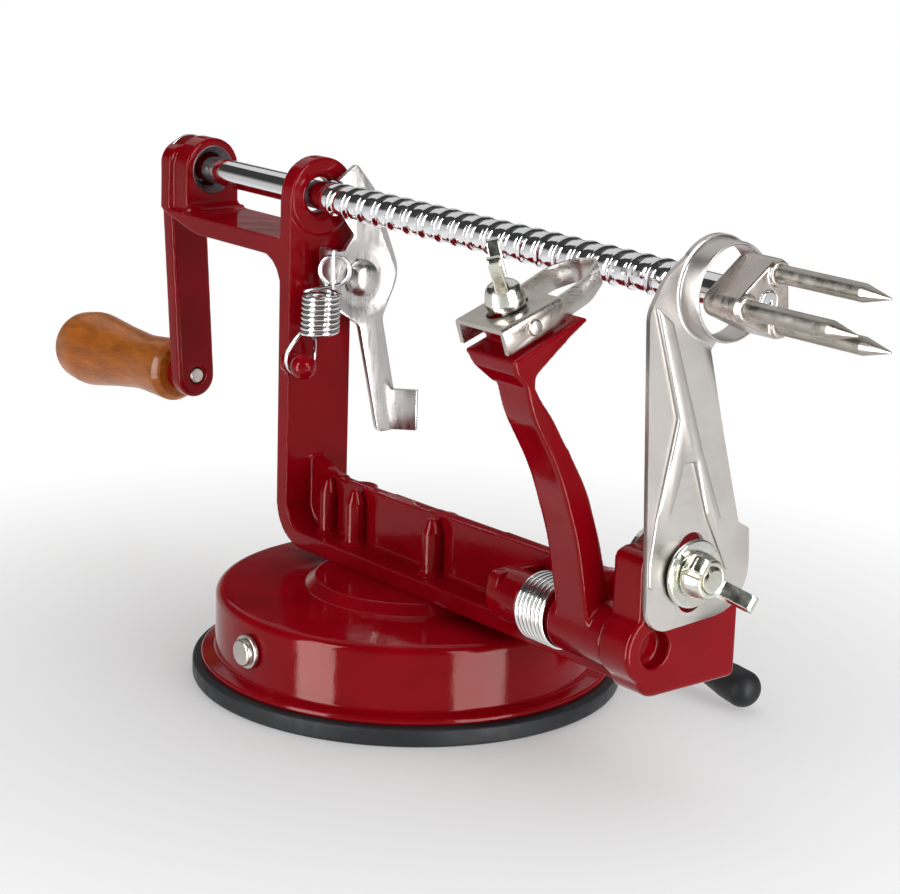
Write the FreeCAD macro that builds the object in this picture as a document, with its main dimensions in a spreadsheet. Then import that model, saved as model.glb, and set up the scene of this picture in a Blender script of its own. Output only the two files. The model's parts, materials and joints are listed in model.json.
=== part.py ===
import FreeCAD, Part
import Sketcher
import math
import os
import re

# Hand cranked apple peeler, corer and slicer on a suction base.
# Millimetres, +Z up, origin at the centre of the base on the table.
# The feed screw runs along X and its fork points to +X; the crank is at -X.

SIZES = [
    ("shaft_height", 118.0, "axis of the feed screw above the table"),
    ("shaft_radius", 3.7, "smooth part of the feed screw"),
    ("thread_radius", 4.5, "crest of the feed thread"),
    ("thread_begin", -36.5, "X where the thread begins"),
    ("thread_finish", 97.0, "X where the thread ends"),
    ("bore_radius", 4.58, "running bore that passes the thread crests"),
    ("mouth_radius", 6.25, "countersunk mouth of each bore"),
    ("boss_radius", 10.0, "both shaft bosses"),
    ("rubber_radius", 55.0, "suction cup"),
    ("rubber_height", 4.7, "top of the suction cup's bead"),
    ("lip_radius", 52.8, "rolled lip of the base"),
    ("wall_radius", 49.2, "upright wall of the base"),
    ("base_top", 23.2, "flat top of the base"),
    ("pad_top", 25.9, "raised pad that carries the casting"),
    ("pad_radius", 22.4, "top of the raised pad"),
    ("skin", 2.5, "thickness of the base's wall"),
    ("cam_height", 15.0, "cam axle above the table"),
    ("cam_radius", 2.6, "cam axle"),
    ("cam_offset", 1.0, "throw of the eccentric"),
    ("cam_barrel", 4.0, "radius of the eccentric"),
    ("frame_half", 10.0, "half width of the casting's flange"),
    ("plate_thick", 4.5, "thickness of post and lower flange"),
    ("bridge_low", 101.9, "underside of the bridge"),
    ("bridge_high", 106.8, "top of the bridge"),
    ("post_face", -40.0, "X of the post's face"),
    ("outer_face", -90.1, "X of the outer boss's inner face"),
    ("outer_end", -101.0, "X of the outer boss's crank side"),
    ("web_top", 45.0, "top edge of the upright web"),
    ("web_half", 2.0, "half thickness of the web"),
    ("block_near", 92.4, "X where the end block begins"),
    ("block_face", 102.1, "X of the end block's face"),
    ("block_top", 59.6, "top of the end block"),
    ("pivot_side", -11.1, "Y of the peeling arm's pivot"),
    ("pivot_height", 37.2, "Z of the peeling arm's pivot"),
    ("pivot_radius", 2.5, "pivot pin"),
    ("hub_radius", 7.7, "hub of the peeling arm"),
    ("arm_face", 87.5, "X of the peeling arm's outer face"),
    ("arm_width", 10.5, "width of the arm's stalk along X"),
    ("bolt_side", -3.2, "Y of the bolt that clamps the slicer plate"),
    ("bolt_height", 54.4, "Z of that bolt"),
    ("bolt_radius", 3.0, "M6 bolt"),
    ("slicer_thick", 1.2, "sheet of the slicer plate"),
    ("slicer_width", 30.7, "width of the slicer plate"),
    ("slicer_lean", 2.9, "turn of the slicer plate about the bolt"),
    ("ring_radius", 11.25, "outside of the coring ring"),
    ("ring_wall", 0.8, "wall of the coring ring"),
    ("ring_depth", 5.6, "how far the coring ring stands out"),
    ("ring_side", 0.2, "Y of the coring ring's centre"),
    ("ring_height", 118.3, "Z of the coring ring's centre"),
    ("crank_face", -102.5, "X of the crank arm's inner face"),
    ("crank_thick", 5.0, "thickness of the crank arm"),
    ("crank_reach", 61.2, "from the shaft to the handle's rivet"),
    ("crank_round", 5.9, "rounded ends of the crank arm"),
    ("crank_lean", 3.4, "turn of the crank in the rest pose"),
    ("handle_droop", 2.6, "lean of the handle's axis"),
    ("handle_length", 56.5, "turned wooden handle"),
    ("rivet_radius", 2.4, "handle rivet"),
    ("hub_near", 109.3, "X of the fork hub's back"),
    ("hub_far", 119.3, "X of the fork hub's face"),
    ("tine_circle", 6.6, "tines from the shaft axis"),
    ("tine_radius", 2.05, "tines"),
    ("tine_tip", 150.8, "X of the tines' points"),
    ("tine_turn", 66.0, "angle of the first tine"),
    ("lever_side", 10.2, "Y of the release lever's rivet"),
    ("lever_height", 96.0, "Z of the release lever's rivet"),
    ("lever_face", -35.2, "X of the release lever's face"),
    ("lever_thick", 1.6, "sheet of the release lever"),
    ("holder_lean", 19.6, "slope of the blade holder"),
    ("holder_width", 16.2, "blade holder along X"),
    ("holder_length", 17.0, "blade holder along its slope"),
    ("holder_drop", 6.0, "depth of the holder's flanges"),
    ("holder_middle", 77.9, "X of the holder's middle"),
    ("holder_side", -37.4, "Y of the holder's middle"),
    ("holder_height", 113.5, "Z of the holder's top"),
    ("lever_slope", 7.8, "dip of the suction lever below level"),
    ("gap", 0.3, "air between pieces that move past each other"),
]

doc = FreeCAD.newDocument("ApplePeeler")
sheet = doc.addObject("Spreadsheet::Sheet", "Sheet")
for row, (alias, value, meaning) in enumerate(SIZES, start=1):
    sheet.set("A%d" % row, meaning)
    sheet.set("B%d" % row, str(value))
    sheet.setAlias("B%d" % row, alias)
doc.recompute()
ALIASES = {alias for alias, value, meaning in SIZES}
PARTS = []


def bound(text):
    """The expression with each size named by its sheet."""
    return re.sub(r"[a-z_]+", lambda m: "Sheet." + m.group(0) if m.group(0) in ALIASES else m.group(0), str(text))


def size(text):
    """The value of an expression in the sheet's sizes."""
    if isinstance(text, (int, float)):
        return float(text)
    return float(sheet.evalExpression(bound(text)))


def bind(thing, path, text):
    """Ties a property to the sheet, or sets a plain number."""
    if isinstance(text, str):
        thing.setExpression(path, bound(text))


# Pieces and their placements

def place(thing, at=(0, 0, 0), axis=(0, 0, 1), angle=0):
    """Sets a piece's own Placement and binds it to the sheet."""
    spot = FreeCAD.Vector(*[size(c) for c in at])
    turn = FreeCAD.Rotation(FreeCAD.Vector(*axis), size(angle))
    thing.Placement = FreeCAD.Placement(spot, turn)
    for name, value in zip("xyz", at):
        bind(thing, "Placement.Base." + name, value)
    bind(thing, "Placement.Rotation.Angle", angle)


def piece(label, at=(0, 0, 0), axis=(0, 0, 1), angle=0):
    """A new body that becomes one sub-part."""
    body = doc.addObject("PartDesign::Body", label)
    body.Label = label
    place(body, at, axis, angle)
    PARTS.append(body)
    return body


# Sketches

def sketch_on(body, role, height=0, shift=(0, 0), turn=0):
    """An empty sketch on one of the body's origin planes, moved and turned."""
    sketch = body.newObject("Sketcher::SketchObject", body.Label + "_sketch")
    origin = next(f for f in body.Origin.OriginFeatures if f.Role == role + "_Plane")
    sketch.AttachmentSupport = [(origin, "")]
    sketch.MapMode = "FlatFace"
    offset = FreeCAD.Vector(size(shift[0]), size(shift[1]), size(height))
    rotation = FreeCAD.Rotation(FreeCAD.Vector(0, 0, 1), size(turn))
    sketch.AttachmentOffset = FreeCAD.Placement(offset, rotation)
    for name, value in zip("xyz", (shift[0], shift[1], height)):
        bind(sketch, "AttachmentOffset.Base." + name, value)
    bind(sketch, "AttachmentOffset.Rotation.Angle", turn)
    return sketch


def fix_point(sketch, geo, pos, x, y):
    """Pins a sketch point at two expressions."""
    for kind, text in (("DistanceX", x), ("DistanceY", y)):
        index = sketch.addConstraint(Sketcher.Constraint(kind, -1, 1, geo, pos, size(text)))
        bind(sketch, "Constraints[%d]" % index, text)


def circle(sketch, x, y, radius):
    """A circle with its centre and radius bound to the sheet."""
    centre = FreeCAD.Vector(size(x), size(y), 0)
    geo = sketch.addGeometry(Part.Circle(centre, FreeCAD.Vector(0, 0, 1), size(radius)))
    fix_point(sketch, geo, 3, x, y)
    index = sketch.addConstraint(Sketcher.Constraint("Radius", geo, size(radius)))
    bind(sketch, "Constraints[%d]" % index, radius)


def outline(sketch, corners):
    """A closed outline; a corner's third value rounds it to that radius."""
    points = [FreeCAD.Vector(size(c[0]), size(c[1]), 0) for c in corners]
    count = len(points)
    arrive, leave, arcs = [], [], []
    for i, corner in enumerate(corners):
        here, before, after = points[i], points[i - 1], points[(i + 1) % count]
        if len(corner) < 3:
            arrive.append(here)
            leave.append(here)
            arcs.append(None)
            continue
        back = (before - here).normalize()
        ahead = (after - here).normalize()
        half = back.getAngle(ahead) / 2
        radius = size(corner[2])
        reach = radius / math.tan(half)
        middle = here + (back + ahead).normalize() * (radius / math.sin(half) - radius)
        arrive.append(here + back * reach)
        leave.append(here + ahead * reach)
        arcs.append(Part.Arc(arrive[-1], middle, leave[-1]))
    for i in range(count):
        run = arrive[(i + 1) % count] - leave[i]
        if run.dot(points[(i + 1) % count] - points[i]) <= 0:
            raise SystemExit("%s: corners %d and %d overlap" % (sketch.Label, i, i + 1))
    lines = [sketch.addGeometry(Part.LineSegment(leave[i], arrive[(i + 1) % count])) for i in range(count)]
    for i, corner in enumerate(corners):
        line_in, line_out = lines[i - 1], lines[i]
        if arcs[i] is None:
            sketch.addConstraint(Sketcher.Constraint("Coincident", line_in, 2, line_out, 1))
            fix_point(sketch, line_out, 1, corner[0], corner[1])
            continue
        arc = sketch.addGeometry(arcs[i])
        first, last = (1, 2) if sketch.getPoint(arc, 1).distanceToPoint(arrive[i]) < 1e-6 else (2, 1)
        mark = sketch.addGeometry(Part.Point(points[i]), True)
        fix_point(sketch, mark, 1, corner[0], corner[1])
        sketch.addConstraint([
            Sketcher.Constraint("Tangent", line_in, 2, arc, first),
            Sketcher.Constraint("Tangent", arc, last, line_out, 1),
            Sketcher.Constraint("PointOnObject", mark, 1, line_in),
            Sketcher.Constraint("PointOnObject", mark, 1, line_out),
        ])
        index = sketch.addConstraint(Sketcher.Constraint("Radius", arc, size(corner[2])))
        bind(sketch, "Constraints[%d]" % index, corner[2])


def box_outline(left, low, right, high, radius=None):
    """Corners of an upright rectangle, rounded where a radius is given."""
    corners = [(left, low), (right, low), (right, high), (left, high)]
    return corners if radius is None else [c + (radius,) for c in corners]


# Features

def pad(body, sketch, length, middle=False, back=False):
    """Adds the sketch's shape along its normal."""
    feature = body.newObject("PartDesign::Pad", body.Label + "_pad")
    feature.Profile = sketch
    feature.SideType = "Symmetric" if middle else "One side"
    feature.Reversed = back
    feature.Length = size(length)
    bind(feature, "Length", length)
    return feature


def pocket(body, sketch, length, middle=False, back=False):
    """Cuts the sketch's shape, against its normal unless turned back."""
    feature = body.newObject("PartDesign::Pocket", body.Label + "_pocket")
    feature.Profile = sketch
    feature.SideType = "Symmetric" if middle else "One side"
    feature.Reversed = back
    feature.Length = size(length)
    bind(feature, "Length", length)
    return feature


def revolve(body, sketch, axis="V_Axis", kind="Revolution"):
    """Turns the sketch's shape about one of its own axes."""
    feature = body.newObject("PartDesign::" + kind, body.Label + "_turned")
    feature.Profile = sketch
    feature.ReferenceAxis = (sketch, [axis])
    feature.Angle = 360
    return feature


def is_circle(edge, radius):
    """Whether an edge is a circle of this radius."""
    try:
        curve = edge.Curve
    except TypeError:
        return False
    return isinstance(curve, Part.Circle) and abs(curve.Radius - size(radius)) < 0.01


def dress(body, kind, wanted, amount):
    """Fillets or chamfers the tip's edges that the test picks by their middle."""
    doc.recompute()
    tip = body.Tip
    names = []
    for number, edge in enumerate(tip.Shape.Edges, start=1):
        middle = edge.valueAt((edge.FirstParameter + edge.LastParameter) / 2)
        if wanted(edge, middle):
            names.append("Edge%d" % number)
    feature = body.newObject("PartDesign::" + kind, body.Label + "_" + kind.lower())
    feature.Base = (tip, names)
    path = "Radius" if kind == "Fillet" else "Size"
    setattr(feature, path, size(amount))
    bind(feature, path, amount)
    return feature


def turned(label, profile, at=(0, 0, 0), axis=(0, 0, 1), angle=0):
    """A piece turned about its own Z from corners given as radius and height."""
    body = piece(label, at, axis, angle)
    sketch = sketch_on(body, "XZ")
    outline(sketch, profile)
    revolve(body, sketch)
    return body


def drill(body, role, x, y, radius, length, height=0):
    """A round hole through, centred on the sketch plane's height."""
    sketch = sketch_on(body, role, height)
    circle(sketch, x, y, radius)
    return pocket(body, sketch, length, middle=True)


# Turns a piece made about Z so that its axis runs along +X, -X or +Y
ALONG_X = dict(axis=(0, 1, 0), angle=90)
AGAINST_X = dict(axis=(0, 1, 0), angle=-90)
ALONG_Y = dict(axis=(1, 0, 0), angle=-90)


# Base and suction clamp

def make_base():
    base = turned("suction_base", [
        (0, "pad_top - skin - 0.4"), (24.4, "pad_top - skin - 0.4"), (26.2, "base_top - skin"),
        ("wall_radius - skin", "base_top - skin", 1.2), ("wall_radius - skin", "rubber_height"),
        ("lip_radius", "rubber_height", 0.5), ("lip_radius", "rubber_height + 1.5", 0.7),
        ("wall_radius", "rubber_height + 2.2", 0.8), ("wall_radius", "base_top", 2.4),
        (26.4, "base_top", 1.2), ("pad_radius + 1.4", "pad_top", 1.1), (0, "pad_top")])
    drill(base, "XZ", 0, "cam_height", "cam_radius + 0.05", 120)
    for x in (-20.0, 13.1):
        drill(base, "XY", x, 0, 2.1, 12, 24)

    turned("suction_cup", [
        (0, 0), ("rubber_radius", 0, 0.8), ("rubber_radius", "rubber_height", 1.0),
        (46, "rubber_height", 0.4), (42, 2.8, 2.0), (0, 2.8)])

    stud = piece("suction_stud")
    foot = sketch_on(stud, "XZ")
    outline(foot, [(0, 3.1), (16, 3.1, 0.4), (16, 5.2, 0.4), (8, 6.2), (0, 6.2)])
    revolve(stud, foot)
    loop = sketch_on(stud, "XZ")
    outline(loop, box_outline(-8.2, 5.5, 8.2, "cam_height + 5.6", 2.5))
    pad(stud, loop, 9, middle=True)
    window = sketch_on(stud, "XZ")
    low = "cam_height - cam_offset - cam_barrel - 0.45"
    high = "cam_height - cam_offset + cam_barrel + 0.45"
    outline(window, box_outline(-5.5, low, 5.5, high, 1.0))
    pocket(stud, window, 20, middle=True)

    axle = turned("cam_axle", [
        (0, -54.8), (3.9, -54.8, 0.6), (3.9, -53.6), ("cam_radius", -53.6), ("cam_radius", 50.9),
        (3.4, 50.9), (3.4, 52.3, 0.7), (0, 52.3)], (0, 0, "cam_height"), (1, 0, 0), 90)
    barrel = sketch_on(axle, "XY")
    circle(barrel, 0, "0 - cam_offset", "cam_barrel")
    pad(axle, barrel, 13, middle=True)

    turned("axle_washer", [
        ("cam_radius + 0.03", 49.6), (4.3, 49.6, 0.3), (4.3, 50.8, 0.3), ("cam_radius + 0.03", 50.8)],
        (0, 0, "cam_height"), (1, 0, 0), 90)

    # The lever lies along +X and a little down; the grip is its rubber end
    slope = dict(at=(0, 0, "cam_height"), axis=(0, 1, 0), angle="lever_slope")
    lever = piece("suction_lever", **slope)
    side = sketch_on(lever, "XZ", -51.8)
    outline(side, [
        (-6.8, -6.8, 6.3), (8, -6.2, 20), (30, -3.6, 30), (46, -3.2), (46, -2.4), (67, -2.4, 2.2),
        (67, 2.4, 2.2), (46, 2.4), (46, 3.2), (30, 4.0, 30), (8, 6.6, 20), (-6.8, 6.8, 6.3)])
    pad(lever, side, 3.4, middle=True)
    drill(lever, "XZ", 0, 0, "cam_radius + 0.02", 8, -51.8)

    grip = turned("lever_grip", [
        (0, 46), (3.7, 46, 0.8), (3.6, 58, 20), (4.6, 66, 12), (4.9, 75, 4.2), (0, 75)],
        (0, 51.8, "cam_height"), (0, 1, 0), "90 + lever_slope")
    slit = sketch_on(grip, "XZ")
    outline(slit, box_outline(-2.4, 45, 2.4, 67, 0.1))
    pocket(grip, slit, 3.4, middle=True)


# Frame casting

def make_frame():
    frame = piece("frame_casting")
    back = "post_face - plate_thick"
    ribbon = sketch_on(frame, "XZ")
    outline(ribbon, [
        ("outer_end", "shaft_height"), ("outer_end", 106.4, 3), (-84, "bridge_low", 20),
        (back, "bridge_low", 8), (back, "pad_top", 11), ("block_near + 1", "pad_top"),
        ("block_near + 1", "pad_top + plate_thick"), ("post_face", "pad_top + plate_thick", 6.5),
        ("post_face", "shaft_height"), (back, "shaft_height"), (back, "bridge_high", 1.5),
        ("outer_face", "bridge_high", 2.5), ("outer_face", "shaft_height")])
    pad(frame, ribbon, "2 * frame_half", middle=True)
    for begin, length in (("outer_end", "outer_face - outer_end"), (back, "plate_thick + 0.6")):
        boss = sketch_on(frame, "YZ", begin)
        circle(boss, 0, "shaft_height", "boss_radius")
        pad(frame, boss, length)

    web = sketch_on(frame, "XZ")
    outline(web, [
        ("post_face - 1", "pad_top + 1"), ("block_near + 1", "pad_top + 1"),
        ("block_near + 1", "web_top"), (-30, "web_top", 20), ("post_face - 1", "web_top + 4")])
    pad(frame, web, "2 * web_half", middle=True)
    for x, radius in ((-30.4, 3.1), (-20.0, 4.0), (13.1, 4.1)):
        rib = sketch_on(frame, "XY", "pad_top + 1")
        circle(rib, x, 0, radius)
        pad(frame, rib, "web_top + 0.6 - pad_top - 1")

    # Ear and gusset that carry the arm's pivot beside the spring
    ear = sketch_on(frame, "YZ", 50.5)
    outline(ear, [
        (1, "pad_top + 2"), (1, "pivot_height + 7"), ("pivot_side - 7", "pivot_height + 7", 6.9),
        ("pivot_side - 7", "pivot_height - 7", 6.9),
        ("pivot_side + 4", "pivot_height - 7", 3)])
    pad(frame, ear, 11.1)
    gusset = sketch_on(frame, "XY", 40.2)
    outline(gusset, [(36, 0), (51, 0), (51, -8.5)])
    pad(frame, gusset, 3.8)

    block = sketch_on(frame, "YZ", "block_near")
    outline(block, [
        (-15.6, "pad_top", 5), (14.8, "pad_top", 1.5), (14.8, "block_top", 3), (-15.9, "block_top", 3)])
    pad(frame, block, "block_face - block_near")
    bulge = sketch_on(frame, "YZ", "block_near")
    circle(bulge, "pivot_side", "pivot_height", 8.5)
    pad(frame, bulge, "block_face - block_near")
    dress(frame, "Fillet", lambda e, m: abs(m.x - size("block_face")) < 0.01, 1.0)

    # Knob that holds the spring, and the boss under the release lever
    for start, length, radius in (("post_face - 0.8", 2.2, 2.9), ("post_face + 1", 3.0, 1.7)):
        knob = sketch_on(frame, "YZ", start)
        circle(knob, -9.5, 75, radius)
        pad(frame, knob, length)
    ball = frame.newObject("PartDesign::AdditiveSphere", "knob_ball")
    ball.Radius = 3.5
    ball.Placement = FreeCAD.Placement(FreeCAD.Vector(size("post_face") + 6.0, -9.5, 75), FreeCAD.Rotation())
    boss = sketch_on(frame, "YZ", back)
    circle(boss, "lever_side", "lever_height", 5.4)
    pad(frame, boss, "lever_face - lever_thick - gap - post_face + plate_thick")

    # Bores
    drill(frame, "YZ", 0, "shaft_height", "bore_radius", 230)
    dress(frame, "Chamfer", lambda e, m: is_circle(e, "bore_radius"), "mouth_radius - bore_radius")
    drill(frame, "YZ", "lever_side", "lever_height", 2.5, 20, "post_face")
    drill(frame, "YZ", "bolt_side", "bolt_height", "bolt_radius + 0.1", 30, "block_face")
    neck = sketch_on(frame, "YZ", "block_near")
    outline(neck, box_outline("bolt_side - 3.1", "bolt_height - 3.1", "bolt_side + 3.1", "bolt_height + 3.1"))
    pocket(frame, neck, 4, back=True)
    drill(frame, "YZ", "pivot_side", "pivot_height", "pivot_radius + 0.02", 120, 50)
    drill(frame, "YZ", "pivot_side", "pivot_height", 8.8, "block_near - 61.6", "61.6 / 2 + block_near / 2")
    recess = sketch_on(frame, "YZ", "block_face")
    circle(recess, "pivot_side", "pivot_height", 4.4)
    pocket(frame, recess, 3)
    for x in (-20.0, 13.1):
        screw = sketch_on(frame, "XY", "pad_top")
        circle(screw, x, 0, 2.0)
        pocket(frame, screw, 15, back=True)

    screws = (("frame_screw_left", -20.0), ("frame_screw_right", 13.1))
    for label, x in screws:
        low = "pad_top - skin - 0.4"
        turned(label, [
            (0, low + " - 2.2"), (3.6, low + " - 2.2", 1.2), (3.6, low), (1.98, low),
            (1.98, "pad_top + 13"), (0, "pad_top + 14")], (x, 0, 0))


# Slicer plate and its clamp

def make_slicer():
    bolt = turned("carriage_bolt", [
        (0, -3.4), (3.5, -3.1, 6), (8.0, -1.6, 0.6), (8.0, 0), ("bolt_radius", 0),
        ("bolt_radius", 18.6), ("bolt_radius - 0.6", 19.2), (0, 19.2)],
        ("block_near", "bolt_side", "bolt_height"), **ALONG_X)
    neck = sketch_on(bolt, "XY")
    outline(neck, box_outline(-3.05, -3.05, 3.05, 3.05))
    pad(bolt, neck, 3.4)

    plate = piece("slicer_plate", ("block_face + gap", "ring_side", "ring_height"), (1, 0, 0), "slicer_lean")
    sheet_outline = sketch_on(plate, "YZ")
    outline(sheet_outline, [
        (-18.9, -76.4, 6.5), (12.6, -76.4, 8.6), (11.2, -59.8, 3), (-1.4, -14.1, 0.8), (2.0, -10.5),
        (4, 6), (-4.6, 10.9, 2), (-15.0, 4.6, 6), (-19.4, -2.5, 7)])
    pad(plate, sheet_outline, "slicer_thick")
    rim = sketch_on(plate, "YZ")
    circle(rim, 0, 0, "ring_radius + 0.9")
    pad(plate, rim, "slicer_thick")
    band = sketch_on(plate, "YZ")
    circle(band, 0, 0, "ring_radius")
    pad(plate, band, "slicer_thick + ring_depth")
    # Two pressed ribs in the shape of a lambda
    for low, high, half in (((5.2, -64.9), (-16.6, -1.6), 1.9), ((-17.2, -66.0), (-9.6, -23.5), 1.8)):
        length = math.hypot(high[0] - low[0], high[1] - low[1])
        lean = math.degrees(math.atan2(high[1] - low[1], high[0] - low[0])) - 90
        rib = sketch_on(plate, "YZ", "slicer_thick - 0.2", low, lean)
        outline(rib, [(-half, 0, half - 0.05), (half, 0, half - 0.05), (half, length, half - 0.05),
                      (-half, length, half - 0.05)])
        pad(plate, rib, 0.8)
    slot = sketch_on(plate, "YZ")
    outline(slot, box_outline(-10.3, -73.2, -2.1, -54.4, 4.05))
    pocket(plate, slot, 8, middle=True)
    drill(plate, "YZ", 0, 0, "ring_radius - ring_wall", 30)

    turned("bolt_washer", [
        ("bolt_radius + 0.08", 0), (7.9, 0, 0.5), (7.9, 1.3, 0.5), ("bolt_radius + 0.08", 1.3)],
        ("block_face + gap + slicer_thick + 0.7", "bolt_side", "bolt_height"), **ALONG_X)
    nut = turned("slicer_wing_nut", [
        ("bolt_radius + 0.05", 0), (5.4, 0, 0.4), (5.2, 1.6, 1), (4.4, 5.0, 0.6), ("bolt_radius + 0.05", 5.0)],
        ("block_face + gap + slicer_thick + 2.2", "bolt_side", "bolt_height"), (0, 1, 0), 90)
    for side in (-1, 1):
        wing = sketch_on(nut, "XZ", 0, (0, 0), 0)
        outline(wing, [
            (side * 3.6, 0.6), (side * 6.5, 0.8, 3), (side * 12.4, 5.2, 1.6), (side * 10.6, 8.6, 1.6),
            (side * 3.6, 4.4)][::side])
        pad(nut, wing, 2.6, middle=True)
    nut.Placement = nut.Placement.multiply(FreeCAD.Placement(
        FreeCAD.Vector(), FreeCAD.Rotation(FreeCAD.Vector(0, 0, 1), 48)))
    nut.setExpression("Placement.Rotation.Angle", None)


# Feed screw, crank and fork

def make_screw():
    shaft = turned("feed_shaft", [
        (0, -109.3), (2.0, -109.3), (3.9, -108.4, 0.6), (3.9, -107.6), (2.6, -107.6), (2.6, "crank_face"),
        ("shaft_radius", "crank_face"), ("shaft_radius", "thread_begin"),
        ("thread_radius", "thread_begin + 0.8"), ("thread_radius", "thread_finish - 0.8"),
        ("shaft_radius", "thread_finish"), ("shaft_radius", "hub_near"), (2.6, "hub_near"),
        (2.6, "hub_far + 0.3", 0.4), (0, "hub_far + 0.3")], (0, 0, "shaft_height"), **ALONG_X)

    turned("thrust_washer", [
        ("shaft_radius + 0.05", "outer_end - 1.2"), (8.2, "outer_end - 1.2", 0.2),
        (8.2, "outer_end - 0.3", 0.2), ("shaft_radius + 0.05", "outer_end - 0.3")],
        (0, 0, "shaft_height"), **ALONG_X)

    crank = piece("crank_arm", ("crank_face - crank_thick", 0, "shaft_height"), (1, 0, 0), "crank_lean")
    side = sketch_on(crank, "YZ")
    round_end = "crank_round - 0.05"
    outline(side, [
        ("0 - crank_round", "crank_round", round_end), ("0 - crank_round", "0 - crank_reach - crank_round", round_end),
        ("crank_round", "0 - crank_reach - crank_round", round_end), ("crank_round", "crank_round", round_end)])
    pad(crank, side, "crank_thick")
    dress(crank, "Fillet", lambda e, m: True, 0.9)
    seat = sketch_on(crank, "YZ", -3)
    circle(seat, 0, "0 - crank_reach", 5.2)
    pad(crank, seat, 4)
    drill(crank, "YZ", 0, 0, 2.62, 40)

    # The handle's own Z runs out along -X from the crank
    side_at = "crank_reach * sin(crank_lean)"
    height_at = "shaft_height - crank_reach * cos(crank_lean)"
    out = dict(axis=(0, 1, 0), angle="0 - 90 - handle_droop")
    handle = turned("handle", [
        ("rivet_radius + 0.06", 0), (7.4, 0, 0.8), (8.9, 2.2, 1.6), (7.9, 18, 46), (9.2, 31, 40),
        (11.1, 45, 17), (9.9, 53.2, 6), (6.4, "handle_length", 2.5), (4.4, "handle_length"),
        (4.4, "handle_length - 3.2"), ("rivet_radius + 0.06", "handle_length - 3.2")],
        ("crank_face - crank_thick - 3.6", side_at, height_at), **out)
    hole = crank.newObject("PartDesign::SubtractiveCylinder", "rivet_hole")
    hole.Radius = size("rivet_radius + 0.02")
    hole.Height = 20
    hole.Placement = crank.Placement.inverse().multiply(handle.Placement).multiply(
        FreeCAD.Placement(FreeCAD.Vector(0, 0, -15), FreeCAD.Rotation()))
    turned("handle_rivet", [
        (0, -8.7), ("rivet_radius - 0.5", -8.7, 0.4), ("rivet_radius", -7.8, 0.6),
        ("rivet_radius", "handle_length - 2.9"), (4.0, "handle_length - 2.9"),
        (4.0, "handle_length - 1.8", 0.8), (0, "handle_length - 1.2")],
        ("crank_face - crank_thick - 3.6", side_at, height_at), **out)

    hub = piece("fork_hub", ("hub_near", 0, "shaft_height"), (1, 0, 0), "tine_turn")
    lobes = sketch_on(hub, "YZ")
    corners = []
    for turn in (0, 120, 240):
        reach = size("tine_circle") + 6.4
        corners.append((reach * math.cos(math.radians(turn)), reach * math.sin(math.radians(turn)), 3.2))
    outline(lobes, corners)
    pad(hub, lobes, "hub_far - hub_near")
    dress(hub, "Fillet", lambda e, m: abs(m.x) < 0.01 or abs(m.x - 10) < 0.01, 0.5)
    drill(hub, "YZ", 0, 0, 2.62, 40)
    for turn in (0, 120, 240):
        y = size("tine_circle") * math.cos(math.radians(turn))
        z = size("tine_circle") * math.sin(math.radians(turn))
        drill(hub, "YZ", y, z, "tine_radius + 0.01", 40)
    for number, turn in enumerate((0, 120, 240), start=1):
        angle = "tine_turn + %d" % turn
        turned("fork_tine_%d" % number, [
            (0, "hub_near + 0.4"), ("tine_radius", "hub_near + 0.4"), ("tine_radius", "tine_tip - 9"),
            (0.25, "tine_tip"), (0, "tine_tip")],
            (0, "tine_circle * cos(%s)" % angle, "shaft_height + tine_circle * sin(%s)" % angle), **ALONG_X)


# Quick release

def make_release():
    turned("lever_rivet", [
        (0, -5.2), (2.48, -5.2), (2.48, 0.15), (4.9, 0.15), (4.7, 1.6, 1.5), (3.2, 3.2, 3), (0, 3.6)],
        ("lever_face", "lever_side", "lever_height"), **ALONG_X)
    lever = piece("release_lever", ("lever_face - lever_thick", 0, 0))
    plate = sketch_on(lever, "YZ")
    outline(plate, [
        (0.6, 121.4), (7.8, 126.2, 0.8), (13.4, 119.6, 2), (17.8, 108.5, 12), (22.6, 96.5, 10),
        (16.8, 84.8, 4), (21.6, 64.2), (22.0, 53.6, 1.5), (16.4, 53.6, 2), (11.0, 83.6, 2),
        (0.9, 83.6, 6), (0.9, 103.6, 2), (4.4, 103.9, 1), (7.4, 107.6, 1), (4.0, 112)])
    pad(lever, plate, "lever_thick")
    ear = sketch_on(lever, "YZ")
    outline(ear, [(-3.0, 98), (-1.4, 98), (-1.4, 106.4, 0.6), (-3.0, 106.4, 0.6)])
    pad(lever, ear, 6)
    link = sketch_on(lever, "YZ")
    outline(link, [(-3.0, 97), (2, 97), (2, 103), (-3.0, 103)])
    pad(lever, link, "lever_thick")
    tab = sketch_on(lever, "YZ")
    outline(tab, [(20.5, 53.8), (29.6, 53.8, 1), (29.6, 64.8, 1), (20.5, 64.8)])
    pad(lever, tab, "lever_thick")
    rim = sketch_on(lever, "YZ", -2.6)
    outline(rim, [(28.0, 53.8, 0.7), (29.6, 53.8, 0.7), (29.6, 64.8, 0.7), (28.0, 64.8, 0.7)])
    pad(lever, rim, 3.4)
    drill(lever, "YZ", 0, "shaft_height", "thread_radius + gap", 30)
    drill(lever, "YZ", "lever_side", "lever_height", 2.55, 30)

    turned("lever_spring", [(4.2, 0), (5.8, 0, 0.5), (5.8, 14, 0.5), (4.2, 14)], (-32.6, -5.6, 79.6))


# Peeling arm

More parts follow.
